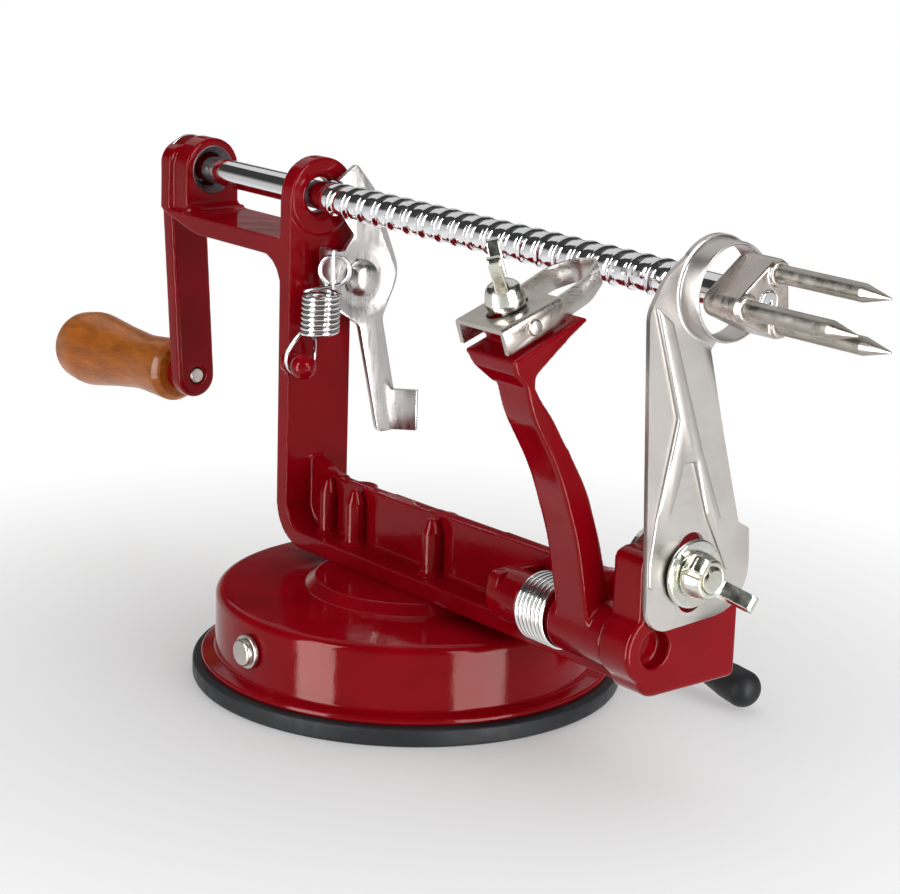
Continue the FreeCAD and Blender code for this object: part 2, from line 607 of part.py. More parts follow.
def make_arm():
    turned("arm_pivot_pin", [
        (0, 50), ("pivot_radius", 50), ("pivot_radius", "block_face - 3"), (3.3, "block_face - 3"),
        (3.3, "block_face - 1.4", 0.8), (0, "block_face - 1.2")], (0, "pivot_side", "pivot_height"), **ALONG_X)

    arm = piece("peeling_arm")
    stalk = sketch_on(arm, "YZ", "arm_face")
    outline(stalk, [
        (-18.3, 38), (-18.6, 41, 20), (-22.5, 59.7, 60), (-28.6, 76.5, 60), (-37.0, 90.5, 30),
        (-39.6, 99), (-32.0, 101.5), (-31.4, 93.4, 14), (-25.8, 81.6, 40), (-20.0, 72, 40),
        (-15.4, 59, 60), (-11.0, 42.1, 20), (-10.0, 36)])
    pad(arm, stalk, "arm_width", back=True)
    lean = "holder_lean"
    spot = ("holder_side", "holder_height")
    shoulder = sketch_on(arm, "YZ", "arm_face", spot, lean)
    outline(shoulder, [
        (-8.6, -6.4, 1.2), (-8.8, -10.5, 2.5), (-5.5, -17.5, 6), (5.0, -18.5), (6.5, -10.5, 4), (6.9, -6.4, 1.0)])
    pad(arm, shoulder, 18.5, back=True)
    tongue = sketch_on(arm, "YZ", "holder_middle + 5.8", spot, lean)
    outline(tongue, [(-7.6, -7), (6.6, -7), (6.6, -1.6, 0.8), (-7.6, -1.6, 0.8)])
    pad(arm, tongue, 11.6, back=True)
    hub = sketch_on(arm, "YZ", 73.9)
    circle(hub, "pivot_side", "pivot_height", "hub_radius")
    pad(arm, hub, "block_near - gap - 73.9")
    sleeve = sketch_on(arm, "YZ", 62.0)
    circle(sleeve, "pivot_side", "pivot_height", 5.9)
    pad(arm, sleeve, 12.5)
    drill(arm, "YZ", "pivot_side", "pivot_height", "pivot_radius + 0.05", 60, 77)
    thread = arm.newObject("PartDesign::SubtractiveCylinder", "screw_hole")
    thread.Radius = 2.0
    thread.Height = 14
    lift = FreeCAD.Rotation(FreeCAD.Vector(1, 0, 0), size(lean))
    centre = FreeCAD.Vector(size("holder_middle"), size(spot[0]), size(spot[1]))
    thread.Placement = FreeCAD.Placement(centre + lift.multVec(FreeCAD.Vector(0, 0, -13)), lift)

    turned("arm_spring", [(6.9, 62.4), (8.4, 62.4, 0.5), (8.4, 73.4, 0.5), (6.9, 73.4)],
           (0, "pivot_side", "pivot_height"), **ALONG_X)

    frame = dict(at=("holder_middle", "holder_side", "holder_height"), axis=(1, 0, 0), angle=lean)
    holder = piece("blade_holder", **frame)
    half = "holder_width / 2"
    channel = sketch_on(holder, "XZ")
    outline(channel, [
        ("0 - holder_width / 2", 0, 1.3), (half, 0, 1.3), (half, "0 - holder_drop"),
        ("holder_width / 2 - 1.2", "0 - holder_drop"), ("holder_width / 2 - 1.2", -1.2, 0.3),
        ("1.2 - holder_width / 2", -1.2, 0.3), ("1.2 - holder_width / 2", "0 - holder_drop"),
        ("0 - holder_width / 2", "0 - holder_drop")])
    pad(holder, channel, "holder_length", middle=True)
    slot = sketch_on(holder, "XY")
    outline(slot, box_outline(-2.3, -5.4, 2.3, 5.4, 2.25))
    pocket(holder, slot, 6, middle=True)
    drill(holder, "YZ", 0, -3.2, 1.0, 30)

    blade = piece("peeler_blade", **frame)
    band = sketch_on(blade, "XY", -1.6)
    outside = "holder_width / 2 - 1.25"
    inside = "holder_width / 2 - 1.95"
    outline(band, [
        (outside, -3), (outside, 23.4, 6.6), ("1.25 - holder_width / 2", 23.4, 6.6),
        ("1.25 - holder_width / 2", -3), ("1.95 - holder_width / 2", -3), ("1.95 - holder_width / 2", 22.7, 5.9),
        (inside, 22.7, 5.9), (inside, -3)])
    pad(blade, band, 4.4, back=True)
    drill(blade, "YZ", 0, -3.2, 1.0, 30)
    for label, sign in (("blade_rivet_left", -1), ("blade_rivet_right", 1)):
        turned(label, [
            (0, 0), (0.99, 0), (0.99, 2.2), (1.9, 2.2), (1.7, 2.9, 0.5), (0, 3.1)],
            ("holder_middle + %d * (holder_width / 2 - 2.2)" % sign,
             "holder_side + 3.2 * sin(holder_lean)", "holder_height - 3.2 * cos(holder_lean)"),
            (0, 1, 0), 90 * sign)

    screw = turned("holder_wing_screw", [
        (0, -12), (1.9, -12), (1.9, 0.4), (5.0, 0.4, 0.5), (5.2, 2.0, 1.5), (4.2, 6.2, 2.5), (0, 7.4)], **frame)
    for side in (-1, 1):
        wing = sketch_on(screw, "XZ")
        outline(wing, [
            (side * 1.0, 4), (side * 4.2, 4), (side * 8.4, 12.6, 1.3), (side * 6.0, 14.4, 1.3),
            (side * 1.0, 7.0)][::side])
        pad(screw, wing, 2.4, middle=True)
    screw.Placement = screw.Placement.multiply(FreeCAD.Placement(
        FreeCAD.Vector(), FreeCAD.Rotation(FreeCAD.Vector(0, 0, 1), -40)))
    screw.setExpression("Placement.Rotation.Angle", None)


def save_parts():
    """Checks every object, then writes one file for each sub-part."""
    doc.recompute()
    for thing in doc.Objects:
        if {"Invalid", "Error"} & set(thing.State):
            raise SystemExit("failed object: %s %s" % (thing.Label, thing.State))
    os.makedirs("parts", exist_ok=True)
    for part in PARTS:
        shape = part.Shape
        if shape.isNull() or not shape.isValid():
            raise SystemExit("bad shape: " + part.Label)
        if len(shape.Solids) != 1:
            raise SystemExit("%s has %d solids" % (part.Label, len(shape.Solids)))
    for part in PARTS:
        part.Shape.exportStep("parts/%s.step" % part.Label)


make_base()
make_frame()
make_slicer()
make_screw()
make_release()
make_arm()
save_parts()
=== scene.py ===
"""Apple peeler, corer and slicer on a suction base: the looks around its solids."""

import json
import math

import bpy
from bpy.props import FloatProperty, FloatVectorProperty, IntProperty, PointerProperty
from mathutils import Matrix, Vector

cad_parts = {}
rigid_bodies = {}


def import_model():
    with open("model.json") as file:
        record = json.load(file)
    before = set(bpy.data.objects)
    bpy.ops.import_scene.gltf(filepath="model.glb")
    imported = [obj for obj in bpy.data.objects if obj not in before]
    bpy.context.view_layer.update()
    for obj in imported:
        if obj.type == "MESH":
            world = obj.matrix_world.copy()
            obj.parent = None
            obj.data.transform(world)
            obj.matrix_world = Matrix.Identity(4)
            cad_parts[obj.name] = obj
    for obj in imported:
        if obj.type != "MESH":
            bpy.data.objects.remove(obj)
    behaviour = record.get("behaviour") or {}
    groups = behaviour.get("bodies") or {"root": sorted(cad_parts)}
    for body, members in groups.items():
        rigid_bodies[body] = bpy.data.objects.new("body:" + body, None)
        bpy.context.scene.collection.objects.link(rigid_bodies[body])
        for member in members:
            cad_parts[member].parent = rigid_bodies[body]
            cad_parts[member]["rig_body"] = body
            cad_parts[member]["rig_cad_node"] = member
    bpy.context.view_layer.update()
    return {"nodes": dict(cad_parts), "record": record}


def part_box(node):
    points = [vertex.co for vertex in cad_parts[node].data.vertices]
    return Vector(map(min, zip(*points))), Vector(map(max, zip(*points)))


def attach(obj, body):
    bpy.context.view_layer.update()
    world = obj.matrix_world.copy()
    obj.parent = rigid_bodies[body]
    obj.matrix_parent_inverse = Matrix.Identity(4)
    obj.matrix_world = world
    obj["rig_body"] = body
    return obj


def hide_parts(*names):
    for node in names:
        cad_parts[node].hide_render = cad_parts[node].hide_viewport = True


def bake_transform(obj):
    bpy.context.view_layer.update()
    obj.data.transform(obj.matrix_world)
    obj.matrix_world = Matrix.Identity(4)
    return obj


bl_info = {
    "name": "Apple Peeler",
    "version": (1, 0, 0),
    "blender": (4, 5, 0),
    "location": "3D View > Sidebar > Peeler",
    "description": "Dresses the solids of a hand cranked apple peeler",
    "category": "Object",
}

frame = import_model()

MM = 0.001
TURN = 2 * math.pi
MOST_FACES = 85000

# Distances at which points are one, in new pieces and in copies of solids

WELD = 1e-6
SOLID_WELD = 2e-6

# Turns that lay a piece's own Z along X or Y, and a flat outline across X

X_AXIS = (0.0, math.pi / 2, 0.0)
Y_AXIS = (math.pi / 2, 0.0, 0.0)
SIDEWAYS = (math.pi / 2, 0.0, math.pi / 2)

# Height of the shaft in millimetres, then places in metres and how far pieces lean there

SHAFT_HEIGHT = 118
SHAFT = (0, 0, 0.118)
ARM_PIVOT = (0, -0.0111, 0.0372)
LEVER_PIVOT = (-0.0352, 0.0102, 0.096)
CLAMP_NUT = (0.1058, -0.0032, 0.0544)
RING = (0.1024, 0.0002, 0.1183)
RING_LEAN = (math.radians(2.9), 0, 0)
HOLDER = (0.0779, -0.0374, 0.1135)
HOLDER_LEAN = (math.radians(19.6), 0.0, 0.0)


# Sizes and colours

def length(name, description, default):
    """A size in metres."""
    return FloatProperty(
        name=name, description=description, default=default, min=0.0, unit="LENGTH", precision=5)


def colour(name, description, default):
    """A linear colour."""
    return FloatVectorProperty(
        name=name, description=description, default=default, size=3, min=0.0, max=1.0, subtype="COLOR")


class PeelerSizes(bpy.types.PropertyGroup):
    """Sizes that the dressed pieces add to the solids."""
    thread_pitch: length("Thread pitch", "Feed of the screw in one turn", 0.00622)
    thread_root: length("Thread root", "Radius of the screw beside its ridges", 0.00372)
    thread_crest: length("Thread crest", "Radius of the screw's ridges", 0.0045)
    wire: length("Lever spring wire", "Thickness of the release spring's wire", 0.0012)
    arm_wire: length("Arm spring wire", "Thickness of the peeling arm's spring wire", 0.0012)
    coils: IntProperty(name="Coils", description="Turns of the release spring", default=8, min=2)
    arm_coils: IntProperty(
        name="Arm coils", description="Turns of the peeling arm's spring", default=7, min=2)
    cast_grain: length("Casting grain", "Detail of the softened castings", 0.0004)
    floor_fade: length("Floor fade", "Distance over which the floor turns white", 0.21)
    lens: FloatProperty(
        name="Lens", description="Focal length of the camera", default=102.76, unit="CAMERA")


class PeelerColours(bpy.types.PropertyGroup):
    """Colours of the finishes."""
    enamel: colour("Enamel", "Crimson enamel on the castings", (0.35, 0.0018, 0.009))
    enamel_deep: colour("Enamel in thick runs", "Where the enamel pools", (0.27, 0.0007, 0.005))
    wood_pale: colour("Pale wood", "Light grain of the handle", (0.66, 0.19, 0.018))
    wood_dark: colour("Dark wood", "Dark grain of the handle", (0.27, 0.062, 0.008))
    chrome: colour("Chrome", "Feed screw", (0.82, 0.82, 0.83))
    stainless: colour("Stainless", "Slicer plate", (0.58, 0.55, 0.525))
    nickel: colour("Nickel", "Blade holder and fork hub", (0.52, 0.47, 0.43))
    bright: colour("Bright plating", "Release lever and its rivet", (0.60, 0.575, 0.57))
    blade: colour("Blade steel", "Peeling blade", (0.60, 0.57, 0.53))
    bare: colour("Bare casting", "Machined mouths of the shaft bores", (0.20, 0.20, 0.21))
    bare_dark: colour("Dark casting", "Where the mouths have darkened", (0.12, 0.12, 0.13))
    tine: colour("Tine steel", "Tumbled steel of the fork's tines", (0.42, 0.40, 0.36))
    tine_dark: colour("Dark tine steel", "Where the tines have browned", (0.34, 0.31, 0.27))
    zinc: colour("Zinc", "Nuts, bolts and washers", (0.70, 0.72, 0.70))
    zinc_yellow: colour("Yellowed zinc", "Where the zinc has a yellow tint", (0.66, 0.64, 0.50))
    wire: colour("Spring wire", "Plating on both springs", (0.74, 0.74, 0.75))
    wire_dark: colour("Dark spring wire", "Where the plating is thin", (0.66, 0.65, 0.63))
    rubber: colour("Rubber", "Suction cup and lever grip", (0.013, 0.014, 0.016))
    floor: colour("Floor", "Studio floor", (0.84, 0.84, 0.84))


def sizes():
    """The scene's size settings."""
    return bpy.context.scene.peeler_sizes


def colours():
    """The scene's colour settings."""
    return bpy.context.scene.peeler_colours


# Modelling helpers

def only(*objects):
    """Selects these objects alone and makes the first one active."""
    bpy.ops.object.select_all(action="DESELECT")
    for thing in objects:
        thing.select_set(True)
    bpy.context.view_layer.objects.active = objects[0]


def edit(action):
    """Runs one step in edit mode on everything that is active."""
    bpy.ops.object.mode_set(mode="EDIT")
    bpy.ops.mesh.select_all(action="SELECT")
    action()
    bpy.ops.object.mode_set(mode="OBJECT")


def settle(piece, at=(0, 0, 0), turn=(0, 0, 0)):
    """Moves a piece and puts its place into its mesh."""
    piece.location = at
    piece.rotation_euler = turn
    only(piece)
    bpy.ops.object.transform_apply(location=True, rotation=True, scale=True)
    return piece


def finish_with(piece, kind, **settings):
    """Adds a modifier and applies it."""
    modifier = piece.modifiers.new(kind.title(), kind)
    for name, value in settings.items():
        setattr(modifier, name, value)
    only(piece)
    bpy.ops.object.modifier_apply(modifier=modifier.name)
    return piece


def smooth(piece, degrees=40):
    """Smooth shading that keeps edges sharper than an angle."""
    only(piece)
    bpy.ops.object.shade_smooth_by_angle(angle=math.radians(degrees))
    return piece


def show(piece, body, slot, material, *nodes):
    """Gives a piece its material and the body it rides on, if any, and hides the nodes it stands for; the
    slot is not used.
    """
    piece.data.materials.clear()
    piece.data.materials.append(material)
    if body:
        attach(piece, body)
    if nodes:
        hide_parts(*nodes)
    return piece


def rounded(profile, steps=6, closed=False):
    """A profile whose corners are rounded where a third value gives a radius."""
    points = []
    for i, corner in enumerate(profile):
        here = Vector(corner[:2])
        if len(corner) < 3 or (not closed and i in (0, len(profile) - 1)):
            points.append(here)
            continue
        back = (Vector(profile[i - 1][:2]) - here).normalized()
        ahead = (Vector(profile[(i + 1) % len(profile)][:2]) - here).normalized()
        half = back.angle(ahead) / 2
        centre = here + (back + ahead).normalized() * corner[2] / math.sin(half)
        reach = corner[2] / math.tan(half)
        first = (here + back * reach - centre).normalized()
        last = (here + ahead * reach - centre).normalized()
        for step in range(steps + 1):
            points.append(centre + first.slerp(last, step / steps) * corner[2])
    return points


def draw(name, points):
    """A new mesh of edges from point to point in millimetres, left in edit mode."""
    bpy.ops.object.select_all(action="DESELECT")
    bpy.ops.mesh.primitive_plane_add(size=MM)
    bpy.context.object.name = name
    bpy.context.object.data.name = name
    bpy.ops.object.mode_set(mode="EDIT")
    bpy.ops.mesh.merge(type="CENTER")
    bpy.ops.transform.translate(value=points[0] * MM)
    for before, after in zip(points, points[1:]):
        bpy.ops.mesh.extrude_region_move(TRANSFORM_OT_translate={"value": (after - before) * MM})
    bpy.ops.mesh.select_all(action="SELECT")


def close_up():
    """Turns every face outwards, leaves edit mode and gives the piece."""
    bpy.ops.mesh.select_all(action="SELECT")
    bpy.ops.mesh.normals_make_consistent(inside=False)
    bpy.ops.object.mode_set(mode="OBJECT")
    return bpy.context.object


def lathe(name, profile, segments=128, smooth_angle=40):
    """A piece turned about its own Z from corners in millimetres, radius and height."""
    draw(name, [Vector((point.x, 0, point.y)) for point in rounded(profile)])
    bpy.ops.mesh.spin(steps=segments, angle=TURN, center=(0, 0, 0), axis=(0, 0, 1))
    bpy.ops.mesh.select_all(action="SELECT")
    bpy.ops.mesh.remove_doubles(threshold=WELD)
    return smooth(close_up(), smooth_angle)


def slab(name, outline, low, high, steps=6):
    """A flat piece from a closed outline in millimetres, between two heights of its own Z."""
    points = [Vector((point.x, point.y, low)) for point in rounded(outline, steps, closed=True)]
    draw(name, points + points[:1])
    bpy.ops.mesh.remove_doubles(threshold=WELD)
    bpy.ops.mesh.edge_face_add()
    bpy.ops.mesh.extrude_region_move(TRANSFORM_OT_translate={"value": (0, 0, (high - low) * MM)})
    return close_up()


def brick(name, low, high):
    """A block between two corners in millimetres."""
    outline = [(low[0], low[1]), (high[0], low[1]), (high[0], high[1]), (low[0], high[1])]
    return slab(name, outline, low[2], high[2])


def combine(piece, other, how="DIFFERENCE"):
    """Cuts another piece out of this one, or adds it, and removes the other."""
    finish_with(piece, "BOOLEAN", object=other, operation=how, solver="EXACT")
    bpy.data.objects.remove(other)
    return piece


def fuse(piece, *others):
    """Joins pieces that overlap into the first one."""
    only(piece, *others)
    bpy.ops.object.join()
    return piece


def soften(piece, width, segments=2, degrees=30):
    """Rounds a piece's sharper edges by a width in millimetres."""
    finish_with(piece, "BEVEL", width=width * MM, segments=segments, limit_method="ANGLE",
                angle_limit=math.radians(degrees), use_clamp_overlap=True)
    return smooth(piece, 35)


def melt(piece, grain, rounds):
    """Gives a piece the soft edges and filled corners of a casting."""
    finish_with(piece, "REMESH", mode="VOXEL", voxel_size=grain)
    finish_with(piece, "SMOOTH", factor=0.5, iterations=rounds)
    faces = len(piece.data.polygons)
    if faces > MOST_FACES:
        finish_with(piece, "DECIMATE", ratio=MOST_FACES / faces)
    only(piece)
    bpy.ops.object.shade_smooth()
    return piece


def winged(name, profile, wing, thick, turn):
    """A cast screw or nut about its own Z with two wings, turned by an angle in degrees."""
    body = lathe(name, profile, 64)
    for side in (0, math.pi):
        blade = slab("wing", wing, -thick / 2, thick / 2)
        settle(blade, turn=Y_AXIS)
        settle(blade, turn=(0, 0, side))
        fuse(body, blade)
    melt(body, grain=0.00022, rounds=4)
    return settle(body, turn=(0, 0, math.radians(turn)))


def copy_of(node, name):
    """A merged copy of a solid's mesh, free of its body."""
    bpy.ops.object.select_all(action="DESELECT")
    source = frame["nodes"][node]
    only(source)
    bpy.ops.object.duplicate()
    piece = bpy.context.object
    bpy.ops.object.parent_clear(type="CLEAR_KEEP_TRANSFORM")
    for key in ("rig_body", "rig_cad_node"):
        del piece[key]
    piece.name = name
    piece.data.name = name
    edit(lambda: bpy.ops.mesh.remove_doubles(threshold=SOLID_WELD))
    return piece


def wire(name, points, thickness):
    """A round wire along points in metres."""
    bpy.ops.object.select_all(action="DESELECT")
    bpy.ops.curve.primitive_nurbs_path_add()
    piece = bpy.context.object
    piece.name = name
    curve = piece.data
    curve.splines.clear()
    spline = curve.splines.new("NURBS")
    spline.points.add(len(points) - 1)
    for point, spot in zip(spline.points, points):
        point.co = (*spot, 1.0)
    spline.order_u = 4
    spline.use_endpoint_u = True
    spline.resolution_u = 3
    curve.bevel_depth = thickness / 2
    curve.bevel_resolution = 4
    curve.use_fill_caps = True
    only(piece)
    bpy.ops.object.convert(target="MESH")
    piece = bpy.context.object
    piece.data.name = name
    edit(bpy.ops.mesh.normals_make_consistent)
    return smooth(piece, 60)


# Materials

class Nodes:
    """A node tree built step by step."""

    def __init__(self, tree):
        self.tree = tree

    def node(self, kind, **settings):
        """A new node with its settings."""
        node = self.tree.nodes.new(kind)
        for name, value in settings.items():
            setattr(node, name, value)
        return node

    def link(self, source, target):
        """Joins two sockets."""
        self.tree.links.new(source, target)

    def mix(self, factor, first, second):
        """Goes from one shader to another by a factor."""
        mix = self.node("ShaderNodeMixShader")
        for number, source in enumerate((factor, first, second)):
            self.link(source, mix.inputs[number])
        return mix.outputs[0]

    def ramp(self, value, stops):
        """A colour ramp over a value; stops are (position, colour) or (position, grey level)."""
        ramp = self.node("ShaderNodeValToRGB")
        elements = ramp.color_ramp.elements
        while len(elements) < len(stops):
            elements.new(0.5)
        for element, (position, shade) in zip(elements, stops):
            element.position = position
            element.color = (*shade, 1.0) if hasattr(shade, "__len__") else (shade, shade, shade, 1.0)
        self.link(value, ramp.inputs["Fac"])
        return ramp.outputs["Color"]

    def spread(self, value, low, high, start=0.3, stop=0.7):
        """Maps a value between two limits."""
        span = self.node("ShaderNodeMapRange")
        for name, number in (("From Min", start), ("From Max", stop), ("To Min", low), ("To Max", high)):
            span.inputs[name].default_value = number
        self.link(value, span.inputs["Value"])
        return span.outputs["Result"]


class Finish(Nodes):
    """A node material built around one Principled shader."""

    def __init__(self, name):
        self.material = bpy.data.materials.new(name)
        self.material.use_nodes = True
        super().__init__(self.material.node_tree)
        self.shader = self.tree.nodes["Principled BSDF"]
        self.place = self.node("ShaderNodeTexCoord").outputs["Object"]

    def set(self, **values):
        """Sets plain values on the shader's sockets."""
        for name, value in values.items():
            socket = self.shader.inputs[name.replace("_", " ")]
            socket.default_value = (*value, 1.0) if hasattr(value, "__len__") and len(value) == 3 else value

    def stretched(self, scale):
        """Object coordinates stretched along the axes."""
        mapping = self.node("ShaderNodeMapping")
        mapping.inputs["Scale"].default_value = scale
        self.link(self.place, mapping.inputs["Vector"])
        return mapping.outputs["Vector"]

    def noise(self, scale, detail=3.0, rough=0.5, place=None, distortion=0.0):
        """A noise value."""
        noise = self.node("ShaderNodeTexNoise")
        noise.inputs["Scale"].default_value = scale
        noise.inputs["Detail"].default_value = detail
        noise.inputs["Roughness"].default_value = rough
        noise.inputs["Distortion"].default_value = distortion
        self.link(place or self.place, noise.inputs["Vector"])
        return noise.outputs["Fac"]

    def bump(self, value, depth, strength=1.0, under=None):
        """Raises the surface by a value; depth is in metres."""
        bump = self.node("ShaderNodeBump")
        bump.inputs["Strength"].default_value = strength
        bump.inputs["Distance"].default_value = depth
        self.link(value, bump.inputs["Height"])
        if under is not None:
            self.link(under, bump.inputs["Normal"])
        return bump.outputs["Normal"]

    def wear(self, normal):
        """Joins a normal to the shader."""
        self.link(normal, self.shader.inputs["Normal"])
        return self.material


def enamel_finish():
    """Thick crimson enamel over a slightly rough casting."""
    look = Finish("crimson_enamel")
    tint = colours()
    pooled = look.noise(45, 2, 0.5)
    shade = look.ramp(pooled, [(0.35, tint.enamel_deep), (0.65, tint.enamel)])
    look.link(shade, look.shader.inputs["Base Color"])
    look.link(look.spread(look.noise(320, 3), 0.05, 0.13), look.shader.inputs["Roughness"])
    look.set(IOR=1.5, Specular_IOR_Level=0.19, Specular_Tint=(1.0, 0.72, 0.66))
    waves = look.bump(look.noise(140, 2, 0.4), 0.0003, 0.25)
    return look.wear(look.bump(look.noise(1500, 2, 0.5), 0.00004, 0.4, waves))


def chrome_finish():
    """Bright plating with faint turning marks."""
    look = Finish("bright_chrome")
    look.set(Metallic=1.0, Base_Color=tuple(colours().chrome))
    fine = look.noise(700, 2, place=look.stretched((4.0, 0.25, 0.25)))
    look.link(look.spread(fine, 0.05, 0.14), look.shader.inputs["Roughness"])
    return look.wear(look.bump(look.noise(240, 2), 0.00006, 0.35))


def brushed(name, shade, stretch, low, high, depth, marks):
    """Metal with fine parallel scratches and soft cloudy patches, between two levels of roughness."""
    look = Finish(name)
    look.set(Metallic=1.0)
    grain = look.noise(marks, 3, 0.6, look.stretched(stretch))
    cloud = look.noise(60, 3)
    dark = tuple(c * 0.84 for c in shade)
    look.link(look.ramp(cloud, [(0.3, dark), (0.7, tuple(shade))]), look.shader.inputs["Base Color"])
    look.link(look.spread(grain, low, high), look.shader.inputs["Roughness"])
    return look.wear(look.bump(grain, depth, 0.6))


def plated(name, shade, tint, low, high, lumps):
    """Rough tumbled plating whose tint drifts over the piece, between two levels of roughness."""
    look = Finish(name)
    look.set(Metallic=1.0)
    drift = look.noise(120, 3)
    look.link(look.ramp(drift, [(0.35, tuple(shade)), (0.7, tuple(tint))]), look.shader.inputs["Base Color"])
    look.link(look.spread(look.noise(420, 3), low, high), look.shader.inputs["Roughness"])
    return look.wear(look.bump(look.noise(520, 3, 0.6), lumps, 0.5))


def wood_finish():
    """Varnished wood with a mottled grain that runs along the handle."""
    look = Finish("varnished_wood")
    tint = colours()
    along = look.stretched((14, 60, 60))
    warp = look.noise(3.0, 4, 0.6, along, 1.2)
    fine = look.noise(9.0, 5, 0.65, along, 0.6)
    mottle = look.noise(55, 3, 0.5)
    mix = look.node("ShaderNodeMix")
    mix.inputs["Factor"].default_value = 0.5
    look.link(warp, mix.inputs[2])
    look.link(mottle, mix.inputs[3])
    blend = look.node("ShaderNodeMix")
    blend.inputs["Factor"].default_value = 0.35
    look.link(mix.outputs[0], blend.inputs[2])
    look.link(fine, blend.inputs[3])
    shade = look.ramp(blend.outputs[0], [(0.34, tint.wood_dark), (0.60, tint.wood_pale)])
    look.link(shade, look.shader.inputs["Base Color"])
    look.set(Roughness=0.40, Specular_IOR_Level=0.15, Coat_Weight=0.28, Coat_Roughness=0.10)
    return look.wear(look.bump(fine, 0.00010, 0.4))


def rubber_finish():
    """Dark moulded rubber with a dull sheen."""
    look = Finish("dark_rubber")
    shade = tuple(colours().rubber)
    dusty = tuple(c * 1.9 for c in shade)
    look.link(look.ramp(look.noise(70, 4), [(0.3, shade), (0.75, dusty)]), look.shader.inputs["Base Color"])
    look.link(look.spread(look.noise(300, 3), 0.42, 0.60), look.shader.inputs["Roughness"])
    look.set(Specular_IOR_Level=0.22)
    return look.wear(look.bump(look.noise(1400, 2), 0.00006, 0.5))


def stainless_finish():
    """Stainless sheet with long fine brushing."""
    return brushed("brushed_stainless", colours().stainless, stretch=(1, 0.012, 1),
                   low=0.30, high=0.40, depth=0.000003, marks=9000)


def nickel_finish():
    """Satin nickel with fine scratches."""
    return brushed("scratched_nickel", colours().nickel, stretch=(1, 0.25, 0.25),
                   low=0.22, high=0.40, depth=0.000012, marks=1400)


def bright_finish():
    """Brighter nickel on pressed sheet, with broad soft streaks."""
    return brushed("bright_nickel", colours().bright, stretch=(0.4, 1, 0.15),
                   low=0.20, high=0.40, depth=0.00003, marks=700)


def blade_finish():
    """Spring steel strip, ground along its length."""
    return brushed("blade_steel", colours().blade, stretch=(0.15, 0.15, 1),
                   low=0.24, high=0.36, depth=0.000004, marks=2600)


def bare_finish():
    """Machined metal of the casting where no enamel sticks."""
    return plated("machined_casting", colours().bare, colours().bare_dark, low=0.30, high=0.55, lumps=0.00010)


def tine_finish():
    """Tumbled grey steel."""
    return plated("tumbled_steel", colours().tine, colours().tine_dark, low=0.24, high=0.44, lumps=0.00010)


def zinc_finish():
    """Bright zinc plate."""
    return plated("bright_zinc", colours().zinc, colours().zinc_yellow, low=0.12, high=0.30, lumps=0.00010)


def wire_finish():
    """Bright plated spring wire."""
    return plated("spring_wire", colours().wire, colours().wire_dark, low=0.10, high=0.22, lumps=0.00003)


MAKERS = {
    "enamel": enamel_finish,
    "chrome": chrome_finish,
    "wood": wood_finish,
    "rubber": rubber_finish,
    "stainless": stainless_finish,
    "nickel": nickel_finish,
    "bright": bright_finish,
    "blade_steel": blade_finish,
    "bare": bare_finish,
    "tine_steel": tine_finish,
    "zinc": zinc_finish,
    "spring_wire": wire_finish,
}
FINISHES = {}


def finish(slot):
    """The material for a slot or finish by name, made on first use."""
    if slot not in FINISHES:
        FINISHES[slot] = MAKERS[slot]()
    return FINISHES[slot]


# Operators, one for each group of pieces

